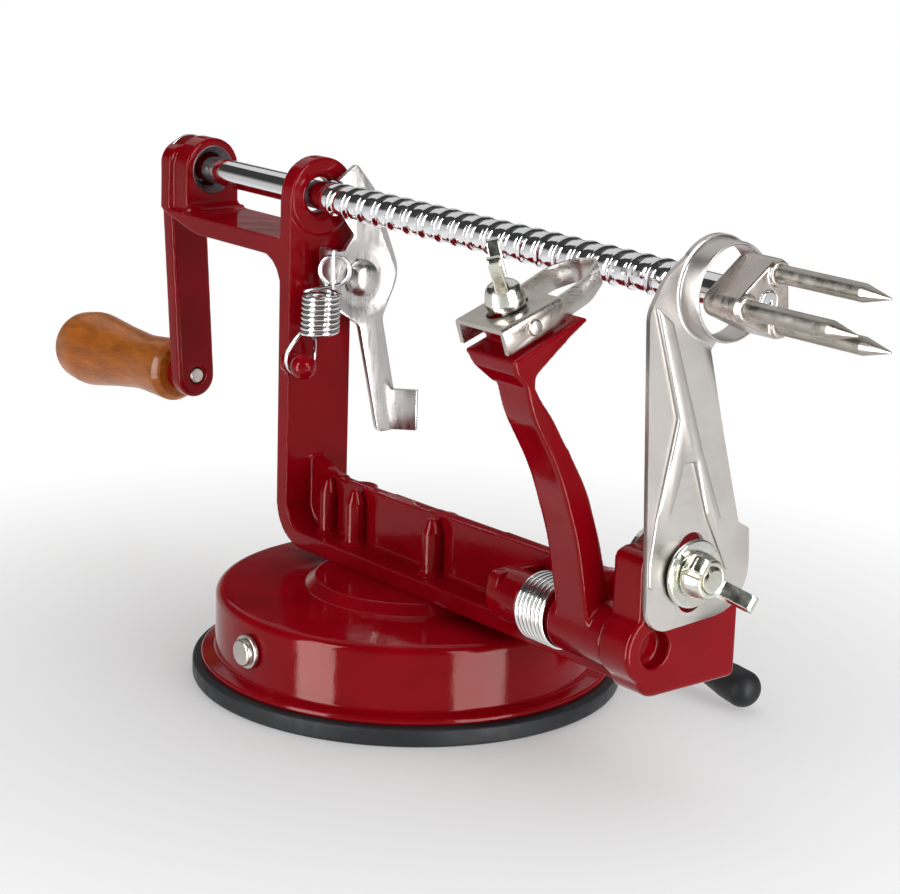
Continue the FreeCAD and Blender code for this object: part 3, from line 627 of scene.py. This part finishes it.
class PEELER_OT_stage(bpy.types.Operator):
    """Floor, soft studio light and the camera"""
    bl_idname = "peeler.stage"
    bl_label = "Stage"

    def execute(self, context):
        scene = context.scene
        scene.view_settings.view_transform = "Standard"
        self.make_camera(scene)
        self.make_floor()
        self.make_lamps()
        self.make_world(scene)
        return {"FINISHED"}

    def make_camera(self, scene):
        """The camera stands where the picture was taken from."""
        bpy.ops.object.camera_add()
        camera = bpy.context.object
        camera.name = "camera"
        right = Vector((0.6321018, 0.7743026, 0.0300468))
        up = Vector((-0.2155159, 0.1384260, 0.9666391))
        back = Vector((0.7443119, -0.6174899, 0.2543738))
        spot = Vector((0.489299, -0.393501, 0.225111))
        camera.matrix_world = Matrix((
            (right.x, up.x, back.x, spot.x),
            (right.y, up.y, back.y, spot.y),
            (right.z, up.z, back.z, spot.z),
            (0, 0, 0, 1)))
        camera.data.sensor_fit = "HORIZONTAL"
        camera.data.sensor_width = 36.0
        camera.data.lens = sizes().lens
        camera.data.clip_start = 0.01
        camera.data.clip_end = 20.0
        scene.camera = camera

    def make_floor(self):
        """A pale floor that fades into the background away from the object."""
        bpy.ops.object.select_all(action="DESELECT")
        bpy.ops.mesh.primitive_circle_add(vertices=96, radius=6.0, fill_type="NGON")
        floor = bpy.context.object
        floor.name = "floor"
        look = Finish("studio_floor")
        look.set(Base_Color=tuple(colours().floor), Roughness=0.7, Specular_IOR_Level=0.2)
        reach = look.node("ShaderNodeVectorMath", operation="LENGTH")
        look.link(look.place, reach.inputs[0])
        fade = look.spread(reach.outputs["Value"], 0.0, 1.0, 0.0, sizes().floor_fade)
        white = look.node("ShaderNodeEmission")
        white.inputs["Color"].default_value = (1, 1, 1, 1)
        seen = look.node("ShaderNodeLightPath")
        direct = look.node("ShaderNodeMath", operation="ADD", use_clamp=True)
        look.link(seen.outputs["Is Camera Ray"], direct.inputs[0])
        look.link(seen.outputs["Is Glossy Ray"], direct.inputs[1])
        factor = look.node("ShaderNodeMath", operation="MULTIPLY")
        look.link(direct.outputs[0], factor.inputs[0])
        look.link(fade, factor.inputs[1])
        mixed = look.mix(factor.outputs[0], look.shader.outputs[0], white.outputs[0])
        look.link(mixed, look.tree.nodes["Material Output"].inputs["Surface"])
        floor.data.materials.append(look.material)
        floor.visible_glossy = False

    def make_lamps(self):
        """Two tall softboxes and a wide one overhead; the gleams are seen by shiny surfaces alone."""
        highest_target = 0.4
        # Name, place, width, height, power, and whether it lights dull surfaces
        lamps = (
            ("right_box", (1.10, 0.07, 0.25), 0.62, 1.50, 7.5, True),
            ("left_box", (-0.03, -1.10, 0.25), 0.46, 1.50, 4.0, True),
            ("overhead", (-0.38, 0.32, 0.95), 1.30, 1.30, 3.6, True),
            ("right_gleam", (1.11, 0.07, 0.25), 0.62, 1.50, 22.0, False),
            ("left_gleam", (-0.03, -1.11, 0.25), 0.46, 1.50, 24.0, False),
        )
        for name, spot, wide, high, power, lit in lamps:
            bpy.ops.object.light_add(type="AREA", location=spot)
            lamp = bpy.context.object
            lamp.name = name
            lamp.data.shape = "RECTANGLE"
            lamp.data.size = wide
            lamp.data.size_y = high
            lamp.data.energy = power
            lamp.visible_diffuse = lit
            target = Vector((0, 0, min(spot[2], highest_target)))
            lamp.rotation_euler = (target - Vector(spot)).to_track_quat("-Z", "Y").to_euler()

    def make_world(self, scene):
        """White to the eye, a dim ceiling in reflections, and a plain even light for the rest."""
        world = bpy.data.worlds.new("studio")
        scene.world = world
        world.use_nodes = True
        sky = Nodes(world.node_tree)
        even = sky.tree.nodes["Background"]
        white = sky.node("ShaderNodeBackground")
        for plain, strength in ((even, 0.34), (white, 1.0)):
            plain.inputs["Color"].default_value = (1, 1, 1, 1)
            plain.inputs["Strength"].default_value = strength
        direction = sky.node("ShaderNodeTexCoord")
        parts = sky.node("ShaderNodeSeparateXYZ")
        sky.link(direction.outputs["Generated"], parts.inputs[0])
        lift = sky.spread(parts.outputs["Z"], 0.0, 1.0, -1.0, 1.0)
        room = sky.node("ShaderNodeBackground")
        levels = sky.ramp(lift, [(0.25, 0.95), (0.40, 0.66), (0.52, 0.60), (0.62, 0.045)])
        sky.link(levels, room.inputs["Color"])
        seen = sky.node("ShaderNodeLightPath")
        shiny = sky.mix(seen.outputs["Is Glossy Ray"], even.outputs[0], room.outputs[0])
        mixed = sky.mix(seen.outputs["Is Camera Ray"], shiny, white.outputs[0])
        sky.link(mixed, sky.tree.nodes["World Output"].inputs["Surface"])


class PEELER_OT_base(bpy.types.Operator):
    """Round enamelled base and its rubber cup"""
    bl_idname = "peeler.base"
    bl_label = "Base"

    def execute(self, context):
        inside = [(0, 23.0), (24.4, 23.0), (26.2, 20.7), (46.7, 20.7, 1.2), (46.7, 4.7)]
        flange = [(52.8, 4.7, 0.5), (52.8, 6.2, 0.7), (49.2, 6.9, 0.8)]
        top = [(49.2, 23.2, 2.4), (26.4, 23.2, 1.2), (23.8, 25.9, 1.1), (0, 25.9)]
        shell = lathe("base_shell", inside + flange + top, 192)
        show(shell, "base", "enamel", finish("enamel"), "suction_base")
        cup = lathe("rubber_cup", [
            (0, 0), (55, 0, 0.8), (55, 4.7, 1.0), (46, 4.7, 0.4), (42, 2.8, 2.0), (0, 2.8)], 192)
        show(cup, "base", "rubber", finish("rubber"), "suction_cup")
        return {"FINISHED"}


class PEELER_OT_casting(bpy.types.Operator):
    """Frame casting with soft cast edges"""
    bl_idname = "peeler.casting"
    bl_label = "Frame casting"

    def execute(self, context):
        body = copy_of("frame_casting", "frame_body")
        for low, high in self.cleared():
            combine(body, brick("cut", low, high))
        recess = lathe("recess", [(0, 98.4), (4.4, 98.4), (4.4, 104), (0, 104)], 64)
        combine(body, settle(recess, ARM_PIVOT, X_AXIS))
        plug = lathe("plug", [(0, 94), (4.6, 94), (4.6, 98.5), (0, 98.5)], 64)
        settle(plug, ARM_PIVOT, X_AXIS)
        fuse(body, plug, *self.crank_side(), self.web())
        melt(body, sizes().cast_grain, rounds=5)
        fuse(body, *self.bullets(), *self.lug())
        show(body, "base", "enamel", finish("enamel"), "frame_casting")
        pin = lathe("pivot_pin", [(0, 50), (2.5, 50), (2.5, 96.4, 0.4), (0, 96.6)], 64)
        settle(pin, ARM_PIVOT, X_AXIS)
        show(pin, "base", "nickel", finish("nickel"), "arm_pivot_pin")
        for name, face in (("post_mouth", -40.0), ("outer_mouth", -90.1)):
            mouth = lathe(name, [
                (6.5, 0.04), (6.35, 0.07), (4.66, -1.62), (4.62, -4.3), (4.75, -4.3), (4.8, -1.7),
                (6.5, 0.04)], 96, 25)
            settle(mouth, (face * MM, 0, SHAFT[2]), X_AXIS)
            show(mouth, "base", "enamel", finish("bare"))
        return {"FINISHED"}

    def cleared(self):
        """Blocks of the solid, from corner to corner, whose contents are made anew."""
        crank_end = ((-103, -12, 106.9), (-89.9, 12, 130))
        web_bosses = ((-34, -9, 30.45), (19, -2, 47))
        web_edge = ((-34, -1, 45.1), (19, 9, 47))
        web_boss_at_block = ((36, -9, 39), (50.7, -2, 45))
        lug = ((50.3, -20, 30.45), (61.8, -2, 46))
        lug_foot = ((50.3, -20, 24), (61.8, -10.02, 31))
        return crank_end, web_bosses, web_edge, web_boss_at_block, lug, lug_foot

    def crank_side(self):
        """The flat-topped wall beside the crank and the round boss in front of it."""
        outer, step, inner = -101, -96.6, -90.1
        radius = 8.55
        wall = slab("wall", [(-10, 106.5), (10, 106.5), (9.7, 124.2, 4.5), (-9.7, 124.2, 4.5)], outer, -96.5)
        settle(wall, turn=SIDEWAYS)
        saddle = slab("saddle", [
            (-radius, 106), (radius, 106), (radius, SHAFT_HEIGHT), (-radius, SHAFT_HEIGHT)], step, inner)
        boss = lathe("boss", [(0, step), (radius, step), (radius, inner), (0, inner)], 96)
        foot = slab("foot", [
            (-92, 105), (-92, 110), (inner, 110), (inner, 106.8, 2.4), (-87, 106.8), (-87, 105)], -8.5, 8.5)
        for other in (settle(saddle, turn=SIDEWAYS), settle(boss, SHAFT, X_AXIS), settle(foot, turn=Y_AXIS)):
            combine(wall, other, "UNION")
        bore = lathe("bore", [(0, -103), (4.62, -103), (4.62, -92), (6.3, -90.0), (0, -90.0)], 64)
        return [combine(wall, settle(bore, SHAFT, X_AXIS))]

    def web(self):
        """The web with its rising top edge."""
        wall = slab("web", [
            (-41, 40), (-41, 49), (-30, 44.8, 20), (74, 46.7, 30), (93.4, 52), (93.4, 40)], -2, 2)
        return settle(wall, turn=Y_AXIS)

    def bullets(self):
        """The pointed bosses in front of the web."""
        pieces = []
        for x, y, radius in ((-17.9, -4.1, 2.6), (13.7, -3.9, 2.6), (-30.4, -3.3, 2.4)):
            bullet = lathe("bullet", [
                (0, 28), (radius + 1.3, 30.2), (radius, 31.4, 1.2), (radius, 41.4, 1.5),
                (radius * 0.45, 44.6, 0.8), (0, 45.2)], 48, 50)
            pieces.append(settle(bullet, (x * MM, y * MM, 0)))
        return pieces

    def lug(self):
        """The lug from the web to the arm's pivot, and the bearing beside the spring."""
        plate = slab("lug", [
            (1, 28), (1, 43.3), (-16.3, 43.3, 2.2), (-17.5, 37.2, 6), (-15.5, 32, 3),
            (-8.1, 28)], 50.5, 54.2)
        bearing = lathe("bearing", [(0, 50.5), (6.4, 50.5, 0.8), (6.4, 61.6, 0.8), (0, 61.6)], 64)
        return [soften(settle(plate, turn=SIDEWAYS), 0.5, 3), settle(bearing, ARM_PIVOT, X_AXIS)]


class PEELER_OT_feed_screw(bpy.types.Operator):
    """Feed screw with its coarse rolled thread"""
    bl_idname = "peeler.feed_screw"
    bl_label = "Feed screw"

    def execute(self, context):
        thread = self.thread(-36.5, 97.0)
        neck, shank = 2.6, 3.7
        crank_end = lathe("crank_end", [
            (0, -109.3), (2.0, -109.3), (3.9, -108.4, 0.6), (3.9, -107.6), (neck, -107.6), (neck, -102.5),
            (shank, -102.5, 0.15), (shank, -36.4), (0, -36.4)], 64)
        fork_end = lathe("fork_end", [
            (0, 96.9), (shank, 96.9), (shank, 109.3), (neck, 109.3), (neck, 119.6, 0.5), (0.9, 119.6, 0.3),
            (0.6, 119.2), (0, 119.2)], 64)
        screw = settle(fuse(thread, crank_end, fork_end), SHAFT, X_AXIS)
        show(smooth(screw, 45), "screw", "chrome", finish("chrome"), "feed_shaft")
        return {"FINISHED"}

    def thread(self, begin, end):
        """The threaded length, cut flat at both ends."""
        pitch = sizes().thread_pitch / MM
        root = sizes().thread_root / MM
        crest = sizes().thread_crest / MM
        # Share of the pitch from a ridge's middle, and share of the way from root to crest
        half = ((0.5, 0.52), (0.42, 0.49), (0.33, 0.40), (0.25, 0.25), (0.185, 0.03), (0.15, 0.03),
                (0.105, 0.42), (0.065, 0.85), (0.025, 0.98))
        ridge = [(-along, rise) for along, rise in half] + [(0, 1.0)] + list(reversed(half))
        first_ridge = -33.8 - pitch * 2
        draw("screw_thread", [
            Vector((root + rise * (crest - root), 0, first_ridge + along * pitch)) for along, rise in ridge])
        bpy.ops.object.mode_set(mode="OBJECT")
        piece = bpy.context.object
        finish_with(piece, "SCREW", angle=-TURN, screw_offset=sizes().thread_pitch, iterations=26, steps=48,
                    render_steps=48, use_merge_vertices=True, merge_threshold=WELD)
        for height, outer in ((begin, False), (end, True)):
            edit(lambda: bpy.ops.mesh.bisect(
                plane_co=(0, 0, height * MM), plane_no=(0, 0, 1), use_fill=True,
                clear_inner=not outer, clear_outer=outer, threshold=1e-7))
        edit(lambda: bpy.ops.mesh.normals_make_consistent(inside=False))
        return piece


class PEELER_OT_crank(bpy.types.Operator):
    """Crank arm, wooden handle and its rivet"""
    bl_idname = "peeler.crank"
    bl_label = "Crank"

    def execute(self, context):
        crank = melt(copy_of("crank_arm", "crank"), grain=0.0004, rounds=5)
        show(crank, "screw", "enamel", finish("enamel"), "crank_arm")
        hole = 2.46
        handle = lathe("turned_handle", [
            (hole, 0), (7.4, 0, 0.8), (8.9, 2.2, 1.6), (7.9, 18, 46), (9.2, 31, 40), (11.1, 45, 17),
            (9.9, 53.2, 6), (6.4, 56.5, 2.5), (4.4, 56.5, 0.3), (4.4, 53.3), (hole, 53.3), (hole, 0)], 96)
        droop = math.radians(2.6)
        lean = math.radians(3.4)
        reach = 61.2
        face = -111.1
        spot = Vector((face, reach * math.sin(lean), SHAFT_HEIGHT - reach * math.cos(lean))) * MM
        settle(handle, spot, (0, -math.pi / 2 - droop, 0))
        show(handle, "grip", "wood", finish("wood"), "handle")
        return {"FINISHED"}


class PEELER_OT_fork(bpy.types.Operator):
    """Fork hub and tines"""
    bl_idname = "peeler.fork"
    bl_label = "Fork"

    def execute(self, context):
        hub = copy_of("fork_hub", "hub")
        for number in (1, 2, 3):
            node = "fork_tine_%d" % number
            low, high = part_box(node)
            middle = (low + high) / 2
            collar = lathe("collar", [(0, 118), (2.9, 118), (2.9, 120.1, 0.3), (0, 120.1)], 48)
            fuse(hub, settle(collar, (0, middle.y, middle.z), X_AXIS))
            tine = lathe("tine_%d" % number, [
                (0, 109.7), (2.05, 109.7), (2.05, 143.6, 1.5), (0.25, 150.8, 0.1), (0, 150.8)], 48)
            settle(tine, (0, middle.y, middle.z), X_AXIS)
            show(tine, "screw", "tine_steel", finish("tine_steel"), node)
        show(melt(hub, grain=0.00025, rounds=4), "screw", "nickel", finish("nickel"), "fork_hub")
        return {"FINISHED"}


class PEELER_OT_quick_release(bpy.types.Operator):
    """Release lever and its spring"""
    bl_idname = "peeler.quick_release"
    bl_label = "Quick release"

    def execute(self, context):
        show(self.lever(), "release", "nickel", finish("bright"), "release_lever")
        stud = lathe("lever_stud", [
            (0, -5.2), (2.48, -5.2), (2.48, -0.7), (4.9, -0.7), (4.9, 0.6, 1.5), (3.4, 2.4, 3),
            (0, 2.9)], 64)
        settle(stud, LEVER_PIVOT, X_AXIS)
        show(stud, "base", "nickel", finish("bright"), "lever_rivet")
        spring = show(self.spring(), None, "spring_wire", finish("spring_wire"), "lever_spring")
        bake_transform(spring)
        return {"FINISHED"}

    def lever(self):
        """A pressed plate with a dish round its rivet, a thumb tab and an ear for the spring."""
        head = [(0.6, 121.4), (7.8, 126.2, 0.8), (13.4, 119.6, 2), (17.8, 108.5, 12), (22.6, 96.5, 10)]
        tail = [
            (17.0, 85.0, 4), (21.6, 64.2), (22.0, 53.6, 1.5), (16.4, 53.6, 2), (9.6, 83.6, 3),
            (0.9, 88.9, 2)]
        ear_root = [(0.9, 97), (-2.9, 97), (-2.9, 103), (0.9, 103), (0.9, 103.6)]
        throat = [(4.4, 103.9, 1), (7.4, 107.6, 1), (4.0, 112)]
        plate = slab("thumb_lever", head + tail + ear_root + throat, -36.8, -35.2)
        settle(plate, turn=SIDEWAYS)
        notch = lathe("notch", [(0, -40), (4.8, -40), (4.8, -30), (0, -30)], 64)
        combine(plate, settle(notch, SHAFT, X_AXIS))
        dish = lathe("dish", [(0, -1.0), (4.2, -1.0), (7.4, -0.8, 6), (10.6, 0.1), (10.6, 3), (0, 3)], 96)
        combine(plate, settle(dish, LEVER_PIVOT, X_AXIS))
        hole = lathe("hole", [(0, -5), (2.55, -5), (2.55, 5), (0, 5)], 48)
        combine(plate, settle(hole, LEVER_PIVOT, X_AXIS))
        ear = slab("ear", [(-3.0, 95), (-1.4, 95), (-1.4, 105.5, 0.75), (-3.0, 105.5, 0.75)], -36.8, -30.8)
        settle(ear, turn=SIDEWAYS)
        tab = slab("tab", [(-36.7, 21.4), (-35.5, 20.2), (-30.1, 25.6, 0.6), (-31.3, 26.8, 0.6)], 53.8, 64.8)
        for part in (ear, tab, plate):
            soften(part, 0.25)
        return smooth(fuse(plate, ear, tab), 35)

    def spring(self):
        """One wire: a hook round the knob's neck, the coil, and a ring through the lever's ear."""
        low = Vector((-0.0334, -0.0050, 0.0836))
        high = Vector((-0.0334, -0.0045, 0.0941))
        left = Vector((-0.632, -0.774, 0))
        front = Vector((0.774, -0.632, 0))
        upward = Vector((0, 0, 1))
        hook_radius, coil_radius, ring_radius = 0.0045, 0.00475, 0.0039
        points = [Vector((-0.0352, -0.0052, 0.0818)), Vector((-0.0372, -0.0036, 0.0796))]
        neck = Vector((-0.0377, -0.0078, 0.0766))
        for step in range(13):
            angle = math.radians(10 - 20 * step)
            points.append(neck + Vector((0, math.cos(angle), math.sin(angle))) * hook_radius)
        steps = 16
        last = sizes().coils * steps
        for step in range(last + 1):
            angle = TURN * step / steps
            across = left * math.cos(angle) + front * math.sin(angle)
            points.append(low.lerp(high, step / last) + across * coil_radius)
        ring = Vector((-0.0312, -0.0020, 0.1000))
        for step in range(18):
            angle = math.radians(-95 + 20 * step)
            points.append(ring + (-left * math.cos(angle) + upward * math.sin(angle)) * ring_radius)
        return wire("release_spring", points, sizes().wire)


class PEELER_OT_peeling_arm(bpy.types.Operator):
    """Peeling arm and the spring on its pivot"""
    bl_idname = "peeler.peeling_arm"
    bl_label = "Peeling arm"

    def execute(self, context):
        arm = copy_of("peeling_arm", "swing_arm")
        self.trim(arm)
        finger = slab("finger", [
            (-6.0, -7.1), (8.6, -7.0), (17.6, -6.7, 0.5), (4.6, -9.9, 10), (-3.9, -12.8),
            (-6.0, -12.8)], 3.6, 9.6)
        settle(settle(finger, turn=SIDEWAYS), HOLDER, HOLDER_LEAN)
        fuse(arm, finger)
        show(melt(arm, grain=0.0004, rounds=6), "arm", "enamel", finish("enamel"), "peeling_arm")
        show(self.spring(), "arm", "spring_wire", finish("spring_wire"), "arm_spring")
        return {"FINISHED"}

    def trim(self, arm):
        """Cuts the head to a short tongue under the blade holder, on a narrow neck."""
        combine(arm, brick("cut", (60, -60, 88), (70.9, 0, 120)))
        side = slab("cut", [(66, 103), (71.3, 103), (77, 92.5), (77, 90), (66, 90)], 0, 60)
        combine(arm, settle(side, turn=Y_AXIS))
        behind = ((-12, -14, -7.1), (12, -3.4, 1))
        left = ((-12, -3.5, -7.1), (-5.8, 12, 1))
        right = ((5.8, -3.5, -7.1), (12, 12, 1))
        for low, high in (behind, left, right):
            combine(arm, settle(brick("cut", low, high), HOLDER, HOLDER_LEAN))
        back = slab("cut", [
            (-26.4, 82.4), (-27.9, 84.7, 8), (-30.9, 89.6, 20), (-34.7, 94.4, 8), (-36.6, 97.4, 2),
            (-36.4, 100.1, 1.5), (-29.7, 105.4), (-17, 114.0), (5, 114), (5, 82.4)], 60, 95)
        combine(arm, settle(back, turn=SIDEWAYS))

    def spring(self):
        """The wire wound round the arm's pivot."""
        begin, span, radius = 0.063, 0.0099, 0.0078
        steps = 24
        last = sizes().arm_coils * steps
        points = []
        for step in range(last + 1):
            angle = TURN * step / steps
            along = begin + span * step / last
            across = Vector((0, math.cos(angle), math.sin(angle))) * radius
            points.append(Vector(ARM_PIVOT) + across + Vector((along, 0, 0)))
        return wire("torsion_spring", points, sizes().arm_wire)


class PEELER_OT_peeling_head(bpy.types.Operator):
    """Blade holder, blade and wing screw"""
    bl_idname = "peeler.peeling_head"
    bl_label = "Peeling head"

    def execute(self, context):
        holder = copy_of("blade_holder", "holder_channel")
        edit(lambda: bpy.ops.mesh.dissolve_limited(angle_limit=math.radians(0.6)))
        show(soften(holder, 0.25), "holder", "nickel", finish("nickel"), "blade_holder")
        show(self.blade(), "holder", "blade_steel", finish("blade_steel"), "peeler_blade")
        screw = winged("head_wing_screw", [
            (0, -12), (1.9, -12), (1.9, 0.4), (4.3, 0.4, 0.5), (4.6, 2.2, 1.5), (3.7, 5.6, 2.3), (0, 6.8)],
            [(1, 5), (3.5, 4.5), (6.8, 13.4, 1.4), (4.6, 15.6, 1.6), (1, 8.5)], 2.8, -40)
        settle(screw, HOLDER, HOLDER_LEAN)
        show(screw, "holder_screw", "zinc", finish("zinc"), "holder_wing_screw")
        return {"FINISHED"}

    def blade(self):
        """A strip bent into a loop, its two ends inside the holder."""
        strip = slab("blade_loop", [
            (6.85, -3), (6.85, 8.7, 20), (5.7, 18.4, 12), (1.0, 26.9, 2.2), (-5.2, 25.4, 5),
            (-8.0, 19.2, 8), (-6.85, 9.0, 20), (-6.85, -3)], -6.1, -0.5)
        hollow = slab("hollow", [
            (6.15, -4), (6.15, 8.66, 19.3), (5.02, 18.19, 11.3), (0.64, 26.08, 1.5), (-4.69, 24.8, 4.3),
            (-7.28, 19.1, 7.3), (-6.15, 9.04, 19.3), (-6.15, -4)], -8, 2)
        combine(strip, hollow)
        combine(strip, brick("trim", (-9, -4, -1.5), (9, 8.6, 1)))
        soften(strip, 0.08)
        return settle(strip, HOLDER, HOLDER_LEAN)


class PEELER_OT_slicer(bpy.types.Operator):
    """Slicer plate with its coring ring, and the wing nut that clamps it"""
    bl_idname = "peeler.slicer"
    bl_label = "Slicer"

    def execute(self, context):
        show(self.plate(), "slicer", "stainless", finish("stainless"), "slicer_plate")
        nut = winged("wing_nut_body", [
            (3.05, 0), (5.5, 0, 0.4), (5.3, 1.6, 1), (4.3, 5.0, 0.6), (3.05, 5.0), (3.05, 0)],
            [(3.4, 0.6), (7.0, 1.6, 3), (12.4, 8.4, 1.8), (9.6, 11.6, 1.8), (3.4, 4.6)], 3.6, 54.5)
        settle(nut, CLAMP_NUT, X_AXIS)
        show(nut, "wing_nut", "zinc", finish("zinc"), "slicer_wing_nut")
        return {"FINISHED"}

    def plate(self):
        """The cutting plate with its slot, its coring ring and the rib that parts into two legs."""
        thick = 1.2
        sheet = slab("cutting_plate", [
            (-19.7, -75.9, 6.5), (12.2, -75.9, 10.4), (12.0, -57.3, 0.9), (8.5, -55.0, 0.4), (3.0, -32.5, 30),
            (-1.3, -13.5, 0.8), (2.0, -10.5), (4, 6), (-4.6, 10.9, 2), (-15.0, 4.6, 6),
            (-19.7, -2.5, 7)], 0, thick)
        combine(sheet, lathe("rim", [(0, 0), (12.1, 0), (12.1, thick), (0, thick)], 96), "UNION")
        combine(sheet, lathe("bore", [(0, -3), (10.6, -3), (10.6, 9), (0, 9)], 96))
        left, right, bottom, top = -10.3, -2.1, -73.2, -54.4
        slot = [(left, bottom, 4.05), (right, bottom, 4.05), (right, top, 4.05), (left, top, 4.05)]
        combine(sheet, slab("slot", slot, -3, 3, 16))
        soften(sheet, 0.25)
        ring = lathe("coring_ring", [
            (10.45, 0), (10.45, 6.6), (10.7, 6.8), (11.0, 6.8, 0.1), (11.25, 6.0), (11.25, 1.22, 0.8),
            (12.06, 1.22), (12.0, 0.2), (10.45, 0)], 128)
        settle(fuse(sheet, ring, self.rib(thick)), turn=SIDEWAYS)
        return settle(smooth(sheet, 35), RING, RING_LEAN)

    def rib(self, thick):
        """The pressed rib, lower on its two legs, where the clamp's washer slides past."""
        left_leg = [
            (-18.2, -1.2), (-11.3, -27.5, 3), (-13.7, -36.2, 9), (-17.3, -48.9, 30), (-19.1, -59.0, 9),
            (-19.1, -65.4, 1.0), (-16.9, -65.0, 0.9), (-13.3, -49.7, 30), (-9.5, -38.0, 0.9)]
        right_leg = [
            (-6.1, -38.0, 0.9), (-1.9, -52.2, 20), (4.5, -65.6, 0.8), (6.7, -64.9, 0.9), (2.6, -53.1, 30),
            (-3.4, -37.2, 30), (-8.1, -22.1, 30), (-13.4, -5.2)]
        full, low = 1.15, 0.55
        fall_start, fall_span = -0.040, 0.009
        rib = soften(slab("rib", left_leg + right_leg, 0.1, thick + full), 0.95, 3, 60)
        for vertex in rib.data.vertices:
            down = min(max((fall_start - vertex.co.y) / fall_span, 0.0), 1.0)
            vertex.co.z = min(vertex.co.z, (thick + full * (1 - down) + low * down) * MM)
        return rib


class PEELER_OT_solids(bpy.types.Operator):
    """Finishes on the solids that stay"""
    bl_idname = "peeler.solids"
    bl_label = "Remaining solids"

    def execute(self, context):
        slots = {entry["node"]: entry["material_slot"] for entry in frame["record"]["subparts"]}
        for name, node in frame["nodes"].items():
            node.data.materials.clear()
            node.data.materials.append(finish(slots[name]))
        return {"FINISHED"}


class PEELER_PT_panel(bpy.types.Panel):
    """Lists the pieces in the sidebar"""
    bl_idname = "PEELER_PT_panel"
    bl_label = "Apple peeler"
    bl_space_type = "VIEW_3D"
    bl_region_type = "UI"
    bl_category = "Peeler"

    def draw(self, context):
        column = self.layout.column()
        for operator in OPERATORS:
            column.operator(operator.bl_idname)
        for group in (context.scene.peeler_sizes, context.scene.peeler_colours):
            for name in group.__annotations__:
                column.prop(group, name)


OPERATORS = (
    PEELER_OT_stage,
    PEELER_OT_base,
    PEELER_OT_casting,
    PEELER_OT_feed_screw,
    PEELER_OT_crank,
    PEELER_OT_fork,
    PEELER_OT_quick_release,
    PEELER_OT_peeling_arm,
    PEELER_OT_peeling_head,
    PEELER_OT_slicer,
    PEELER_OT_solids,
)
CLASSES = (PeelerSizes, PeelerColours, *OPERATORS, PEELER_PT_panel)


def register():
    """Registers the classes and their settings."""
    for cls in CLASSES:
        bpy.utils.register_class(cls)
    bpy.types.Scene.peeler_sizes = PointerProperty(type=PeelerSizes)
    bpy.types.Scene.peeler_colours = PointerProperty(type=PeelerColours)


def unregister():
    """Removes the classes and their settings."""
    del bpy.types.Scene.peeler_colours
    del bpy.types.Scene.peeler_sizes
    for cls in reversed(CLASSES):
        bpy.utils.unregister_class(cls)


def main():
    """Makes every piece in turn."""
    register()
    for operator in OPERATORS:
        group, name = operator.bl_idname.split(".")
        getattr(getattr(bpy.ops, group), name)()


if __name__ == "__main__":
    main()
